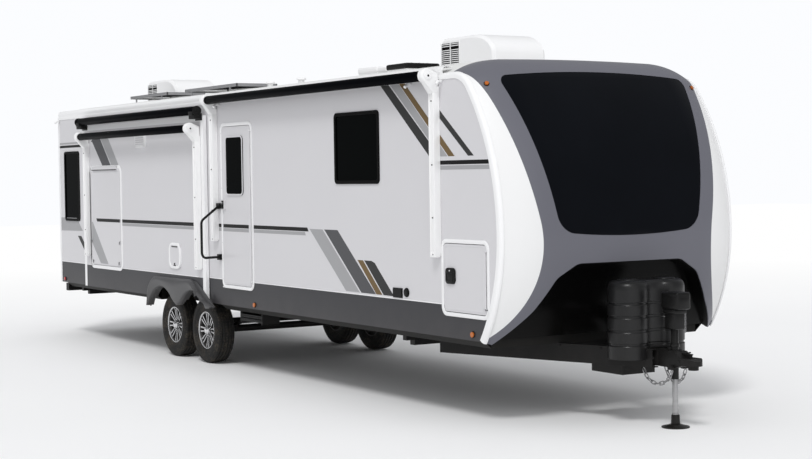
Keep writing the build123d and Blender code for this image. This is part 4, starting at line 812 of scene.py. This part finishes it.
def roof_edges():
    """The rounded white moulding that covers the roof's edge along both sides."""
    fores = [-3942 + 9340 * number / 8 for number in range(9)]
    turns, radius, sheet = [radians(turn) for turn in range(-20, 111, 13)], 44, 0.004
    around = [(1180 + radius * cos(turn), 2884 + radius * sin(turn)) for turn in turns]
    section = [(1221, 2838)] + around + [(1120, 2922)]
    mesh = bmesh.new()
    bridged(mesh, [[spot(fore, -out, up) for fore in fores] for out, up in section])
    bmesh.ops.solidify(mesh, geom=mesh.verts[:] + mesh.edges[:] + mesh.faces[:], thickness=sheet)
    bmesh.ops.mirror(mesh, geom=mesh.verts[:] + mesh.edges[:] + mesh.faces[:], axis="Y", merge_dist=0.0001)
    show("roof_edge_mouldings", mesh, "trailer", "trim", smooth=60)


def gutter_spouts():
    """White drip spouts that lead water off the gutter beside the awning heads."""
    mesh = bmesh.new()
    for fore, up in ((1052, 2798), (5392, 2798), (-3900, 2798), (4900, 2798)):
        block(mesh, (fore - 14, -1226, up - 6), (fore + 14, -1262, up + 10), 4)
        disc(mesh, (fore, -1256, up + 2), (0.25, -0.75, -0.6), 10, 42, 2, 20, tip=14)
    show("gutter_spouts", mesh, "trailer", "trim")


# Roof
def cooling_unit_details():
    """Louvres in the sides of the roof units, near their rear ends, with black plates behind the slats as
    painted shade in the openings.
    """
    vent_shade = bmesh.new()
    slats = bmesh.new()
    for rear in (3900, -3160):
        for side in (CURB, ROAD):
            left = side * 290
            for start in (rear + 62, rear + 212):
                # Painted shade: a black plate behind each louvre stands in for the shade inside its openings.
                on_side(vent_shade, (start, 3040, start + 132, 3242), left, 1.2, 0)
                for number in (0, 1, 2, 3, 4, 5, 6, 7, 9, 10):
                    up = 3044 + 18.4 * number
                    on_side(slats, (start - 2, up, start + 134, up + 7.5), left, 7, 1.5)
            for start in (rear + 46, rear + 352):
                on_side(slats, (start, 3024, start + 10, 3256), left, 5, 2)
            on_side(slats, (rear + 30, 3000, rear + 500, 3010), left, 4, 1.5)
    show("roof_unit_vent_shade", vent_shade, "trailer", "window_frame")
    show("roof_unit_slats", slats, "trailer", "trim")


def vent_lid(mesh, fore, left):
    """A bevelled vent lid with three low ribs."""
    block(mesh, (fore - 12, left - 12, 3040), (fore + 372, left + 372, 3096), 20, 5)
    for rib in (left + 70, left + 160, left + 250):
        block(mesh, (fore + 40, rib, 3094), (fore + 320, rib + 20, 3100), 2)


def roof_details():
    """The roof's vent lids, solar panels on their feet, and pipe caps."""
    mesh = bmesh.new()
    vent_lid(mesh, 3200, -430)
    show("roof_vent_dark_lid", mesh, "trailer", "black_plastic")
    mesh = bmesh.new()
    for fore, left in ((2650, -430), (-1500, 350)):
        vent_lid(mesh, fore, left)
    show("roof_vent_white_lids", mesh, "trailer", "trim")
    frames, cells = bmesh.new(), bmesh.new()
    outer, inner, low, high, rail = -850, -355, 3020, 3055, 14
    for rear, front in ((-2330, -1180), (-660, 720)):
        block(cells, (rear + 10, -842, 3024), (front - 10, -363, 3052), 1)
        block(frames, (rear, outer, low), (rear + rail, inner, high), 2)
        block(frames, (front - rail, outer, low), (front, inner, high), 2)
        block(frames, (rear, outer, low), (front, outer + rail, high), 2)
        block(frames, (rear, inner - rail, low), (front, inner, high), 2)
        for fore in (rear + 160, front - 200):
            for left in (-846, -389):
                block(frames, (fore, left, 2935), (fore + 40, left + 5, 3024), 1)
                block(frames, (fore, left, 2935), (fore + 40, left + 30, 2940), 1)
    show("solar_frames", frames, "trailer", "alloy", ["solar_panels"])
    show("solar_cells", cells, "trailer", "solar")
    mesh = bmesh.new()
    for fore, left in ((1350, -760), (2050, -760), (-3500, 500), (3600, 620)):
        disc(mesh, (fore, left, 2955), (0, 0, 1), 30, 60, 3, 24)
        disc(mesh, (fore, left, 3012), (0, 0, 1), 52, 22, 8, 32, tip=44)
    show("roof_pipe_caps", mesh, "trailer", "trim")


# Nose
def nose_lamp_bases():
    """Black bases behind the lamps on the nose and along both sides."""
    mesh = bmesh.new()
    for side in (CURB, ROAD):
        disc(mesh, (5840, side * 1086, 2754), (0.739, side * 0.39, 0.55), 24, 7, 2, 24)
    for fore, up in ((1828, 728), (5800, 735), (-3800, 727)):
        for side in (CURB, ROAD):
            disc(mesh, (fore, side * HALF_WIDTH, up), (0, side, 0), 28, 6, 2, 24)
    show("lamp_bases", mesh, "trailer", "black_plastic")


# Drawbar equipment
def gas_bottle_cover():
    """The ribbed double cover: one outline drawn up in steps, with grooves and domed shoulders."""
    mesh = bmesh.new()
    middle_fore, foot, lobe, spread = 6500, 532, 165, 190
    start = radians(51)
    turns = [-start + (pi + 2 * start) * number / 30 for number in range(31)]
    half = [(lobe * cos(turn), spread + lobe * sin(turn)) for turn in turns]
    outline = half + [(-across, -along) for across, along in half]
    last = [flat(mesh, [spot(middle_fore + across, along, foot) for across, along in outline])]
    groove_shape = ((-7, 1.0), (-3, 0.985), (0, 0.945), (14, 0.945), (17, 0.985), (22, 1.0))
    levels = [(groove + step, scale) for groove in (643, 753, 866, 973) for step, scale in groove_shape]
    levels += [(1088, 1.0), (1108, 0.99), (1124, 0.965), (1138, 0.925), (1149, 0.865), (1156, 0.79),
               (1160, 0.70)]
    size, up = 1.0, foot
    for height, scale in levels:
        last = thicken(mesh, last, Vector((0, 0, (height - up) / 1000)))
        for vert in once(vert for face in last for vert in face.verts):
            middle = spot(middle_fore, spread if vert.co.y > 0 else -spread, height)
            vert.co = middle + (vert.co - middle) * (scale / size)
        size, up = scale, height
    for side in (CURB, ROAD):
        disc(mesh, (middle_fore, side * spread, 1156), (0, 0, 1), 88, 13, 5, 40)
        disc(mesh, (middle_fore, side * spread, 1168), (0, 0, 1), 34, 2, 0.6, 32)
    show("gas_cover_shell", mesh, "trailer", "gas_plastic", ["gas_cover"], smooth=50)


def jack_details():
    """The tongue jack: its head over a tube, the round foot, the ram and a hanging chain."""
    fore, rise = JACK_FORE, (0, 0, 1)
    mesh = bmesh.new()
    block(mesh, (fore - 60, -58, 780), (fore + 60, 58, 932), 14, 3)
    block(mesh, (fore - 71, -66, 905), (fore + 71, 66, 944), 12, 3)
    block(mesh, (fore - 85, -72, 940), (fore + 113, 72, 1078), 18, 4)
    block(mesh, (fore - 73, -74, 1052), (fore + 101, 74, 1062), 3)
    block(mesh, (fore + 107, -50, 962), (fore + 115, 50, 1040), 4)
    disc(mesh, (fore, 0, 1074), rise, 26, 6, 2, 24)
    disc(mesh, (fore, 0, 604), rise, 60, 14, 3, 40)
    disc(mesh, (fore, 0, 385), rise, 29, 400, 2, 32)
    disc(mesh, (fore, 0, 640), rise, 36, 30, 3, 32)
    show("jack_head", mesh, "trailer", "jack_black", ["jack_housing"])
    mesh = bmesh.new()
    disc(mesh, (fore, 0, 0), rise, 112, 10, 3, 40)
    disc(mesh, (fore, 0, 9), rise, 90, 16, 4, 40, tip=52)
    disc(mesh, (fore, 0, 20), rise, 38, 82, 4, 32, tip=33)
    for turn in range(4):
        angle = pi / 4 + turn * pi / 2
        disc(mesh, (fore + 80 * cos(angle), 80 * sin(angle), 9), rise, 9, 6, 2, 6)
    show("jack_shoe", mesh, "trailer", "jack_black", ["jack_foot"])
    mesh = bmesh.new()
    disc(mesh, (fore, 0, 95), rise, 22.5, 330, 1, 32)
    disc(mesh, (fore, 0, 104), rise, 27, 10, 2, 32)
    show("jack_ram", mesh, "trailer", "zinc")
    mesh = bmesh.new()
    for number in range(9):
        ring(mesh, spot(fore + 45, 70, 925 - 20 * number), rise, 12, 2.2, 6, number % 2)
    show("jack_hanging_chain", mesh, "trailer", "zinc")


def safety_chains():
    """Two chains that hang in an arc below the drawbar, each link turned from the last."""
    start, links, pitch, steepest, taper = 6600, 9, 44, 76, 0.16
    mesh = bmesh.new()
    for side in (CURB, ROAD):
        fore, up = start, 456.5
        for number in range(links):
            slope = radians(steepest * (2 * (number + 0.5) / links - 1))
            left = side * (117 - taper * (fore - start))
            way = Vector((cos(slope), -side * taper * cos(slope), sin(slope))).normalized()
            middle = spot(fore, left, up) + way * (pitch / 2000)
            ring(mesh, middle, way, 27.5, 4.5, 13, number % 2)
            fore += pitch * way.x
            up += pitch * way.z
    show("safety_chain_links", mesh, "trailer", "zinc", ["tow_chains"])


def coupler_details():
    """The coupler's latch and pull ring, with the bolts that hold the coupler and the drawbar."""
    mesh = bmesh.new()
    block(mesh, (6912, -14, 588), (7046, 14, 600), 4)
    block(mesh, (6900, -10, 566), (6924, 10, 612), 4)
    for side in (CURB, ROAD):
        for fore in (6625, 6700):
            disc(mesh, (fore, side * 96, 545), (0, side, 0), 11, 14, 2, 6)
        disc(mesh, (6964, side * 42, 540), (0, side, 0), 10, 26, 2, 20)
    ring(mesh, spot(7004, 0, 604), (1, 0, 0.5), 20, 3.5, 15, 0)
    show("coupler_latch", mesh, "trailer", "black_paint")
    mesh = bmesh.new()
    for side in (CURB, ROAD):
        for fore in (4780, 5150, 5520, 5880, 6250):
            left = side * (800 - 719 * (fore - 4700) / 2000 + 33)
            disc(mesh, (fore, left, 600), (0.34, side * 0.94, 0), 10, 6, 1.5, 6)
    show("drawbar_bolts", mesh, "trailer", "black_paint")


# Running gear
def fender(name, body, wall, bulge):
    """A double-arched fender: a rolled shoulder outside, a lip round both arches, a valley between."""
    side, samples, sheet = outward(wall), 81, 0.002
    rear_crest, front_crest = arc((-556, 680), 236, 176, 92), arc((330, 686), 236, 86, 40)
    rear_arch, front_arch = arc((-398, 374), 436, 153, 46), arc((458, 374), 436, 134, 36)
    valley = [(-40, 652), (30, 618), (100, 652)]
    crest = evenly([(-790, 568)] + rear_crest + front_crest + [(640, 734), (956, 652)], samples)
    lip = evenly(rear_arch + valley + front_arch + [(905, 640)], samples)
    rows = ((0.0, 0), (0.012, 20), (0.045, 36), (0.10, 49), (0.18, 57), (0.28, 60), (0.45, 58), (0.7, 52),
            (0.9, 49), (0.97, 46), (1.0, 40), (1.0, -30))
    lines = []
    for share, proud in rows:
        left = wall + side * proud * (bulge if proud > 0 else 1)
        line = []
        for (fore, up), (lip_fore, lip_up) in zip(crest, lip):
            line.append(spot(fore + (lip_fore - fore) * share, left, up + (lip_up - up) * share))
        lines.append(line)
    mesh = bmesh.new()
    bridged(mesh, lines)
    bmesh.ops.solidify(mesh, geom=mesh.faces[:], thickness=sheet)
    show(f"{name}_fender_flare", mesh, body, "fender", smooth=60)


def underside_details():
    """The folded entry step's treads and side plates."""
    mesh = bmesh.new()
    for number in range(5):
        up = 532 + 14 * number
        block(mesh, (1196, -(1079 - 2 * number), up), (1704, -(1083 - number), up + 6), 1)
    for fore in (1210, 1680):
        block(mesh, (fore, -1078, 500), (fore + 14, -1000, 625), 3)
    show("entry_step_treads", mesh, "trailer", "black_paint")


def wall_details():
    """Utility port covers, and white beads along the top of the grey waist band."""
    bead_low, bead_high, round_port = WAIST_TOP + 1, WAIST_TOP + 9, (4789, 1020)
    mesh = bmesh.new()
    for side in (CURB, ROAD):
        on_side(mesh, (4566, 968, 4720, 1053), side * HALF_WIDTH, 10, 3)
    studs(mesh, [round_port], -HALF_WIDTH, 40, 8, 32)
    studs(mesh, [round_port], -(HALF_WIDTH + 8), 30, 8, 32)
    show("utility_port_covers", mesh, "trailer", "black_plastic")
    mesh = bmesh.new()
    lengths = ((CURB, -3944, -2944), (CURB, 744, 1071), (CURB, 1829, 5345), (ROAD, -3944, 5345))
    for side, start, end in lengths:
        on_side(mesh, (start, bead_low, end, bead_high), side * HALF_WIDTH, 2.5, 1)
    show("waist_beads", mesh, "trailer", "trim")
    mesh = bmesh.new()
    on_side(mesh, (-1664, bead_low, 553, bead_high), -SLIDE_FACE, 2.5, 1)
    show("slide_waist_bead", mesh, "slide_out", "trim")


# Stage: floor, light and camera
def studio_floor():
    """A pale floor that fades to white light far from the trailer."""
    mesh = bmesh.new()
    ground = Matrix.Translation((0, 0, -COUPLER_HEIGHT / 1000))
    bmesh.ops.create_grid(mesh, x_segments=4, y_segments=4, size=60, matrix=ground)
    data = bpy.data.meshes.new("studio_floor")
    mesh.to_mesh(data)
    mesh.free()
    floor = bpy.data.objects.new("studio_floor", data)
    bpy.context.scene.collection.objects.link(floor)
    finish = surface("pale_floor", (0.92, 0.92, 0.92), 0.85, vary=0.01, patches=0.5)
    middle, clear, fade_over = 5, 7, 14
    reach = finish.maths("SQRT", (finish.fore + middle) * (finish.fore + middle) + finish.left * finish.left)
    seen = Value(finish, finish.node("ShaderNodeLightPath").outputs["Is Camera Ray"])
    amount = ((reach - clear) / fade_over).clamped() * seen
    glow = finish.node("ShaderNodeEmission", {}, {"Strength": 1.0}).outputs[0]
    fade = finish.node("ShaderNodeMixShader", {}, {0: amount, 1: finish.shader.outputs[0], 2: glow})
    finish.feed(finish.tree.nodes["Material Output"].inputs["Surface"], fade.outputs[0])
    data.materials.append(finish.material)


def sky():
    """A white surround: full light where it is seen, less where it lights, least where it is mirrored."""
    mirrored_light, seen_light = 0.36, 1.0
    world = bpy.data.worlds.new("studio")
    bpy.context.scene.world = world
    world.use_nodes = True
    tree = ShaderTree(world.node_tree)
    ray = tree.node("ShaderNodeLightPath").outputs
    direct = tree.maths("MAXIMUM", ray["Is Camera Ray"], ray["Is Transmission Ray"])
    level = direct - ray["Is Glossy Ray"]
    sockets = {"Value": level, "From Min": -1.0, "To Min": mirrored_light, "To Max": seen_light}
    strength = tree.node("ShaderNodeMapRange", {}, sockets).outputs[0]
    background = tree.tree.nodes["Background"].inputs
    tree.feed(background["Color"], (0.97, 0.98, 1.0, 1))
    tree.feed(background["Strength"], strength)


def lamp(name, way, strength, spread):
    """A distant lamp that shines along a direction, softened by its spread in degrees."""
    light = bpy.data.lights.new(name, "SUN")
    light.energy = strength
    light.angle = radians(spread)
    holder = bpy.data.objects.new(name, light)
    holder.rotation_mode = "QUATERNION"
    holder.rotation_quaternion = Vector(way).to_track_quat("-Z", "Y")
    bpy.context.scene.collection.objects.link(holder)


def camera():
    """The photograph's viewpoint: place, yaw, pitch, roll and lens."""
    yaw, pitch, lean = radians(58.405), radians(1.973), radians(-0.825)
    photo_width, focal_pixels, sensor = 812, 1596.9, 36
    ahead = Vector((-sin(yaw) * cos(pitch), cos(yaw) * cos(pitch), -sin(pitch)))
    right = Vector((cos(yaw), sin(yaw), 0))
    above = right.cross(ahead)
    turned_right = cos(lean) * right + sin(lean) * above
    turned_above = -sin(lean) * right + cos(lean) * above
    view = Matrix((turned_right, turned_above, -ahead)).transposed().to_4x4()
    view.translation = Vector((9.4157, -8.4087, 1.5354))
    lens = bpy.data.cameras.new("camera")
    lens.sensor_fit = "HORIZONTAL"
    lens.sensor_width = sensor
    lens.lens = sensor * focal_pixels / photo_width
    lens.clip_end = 400
    holder = bpy.data.objects.new("camera", lens)
    holder.matrix_world = view
    bpy.context.scene.collection.objects.link(holder)
    bpy.context.scene.camera = holder


finish_nodes()
stripes()
for wheel, (fore, left) in WHEELS.items():
    tyre(wheel, fore, left)
    rim(wheel, fore, left)
entry_door_details()
kitchen_door_details()
for side, name in ((CURB, "curb"), (ROAD, "road")):
    baggage_door_details(side, name)
slide_hatch_details()
for name, facts in ARMS.items():
    awning_arms(name, *facts)
awning_rolls()
roof_edges()
gutter_spouts()
cooling_unit_details()
roof_details()
nose_lamp_bases()
gas_bottle_cover()
jack_details()
safety_chains()
coupler_details()
fender("curb", "slide_out", -SLIDE_FACE, 1)
fender("road", "trailer", HALF_WIDTH, 0.29)
underside_details()
wall_details()
studio_floor()
sky()
lamp("key_lamp", (-0.42, 0.42, -0.80), 1.25, 14)
lamp("fill_lamp", (-0.9, 0.25, -0.35), 0.35, 60)
camera()
bpy.context.scene.view_settings.view_transform = "Standard"
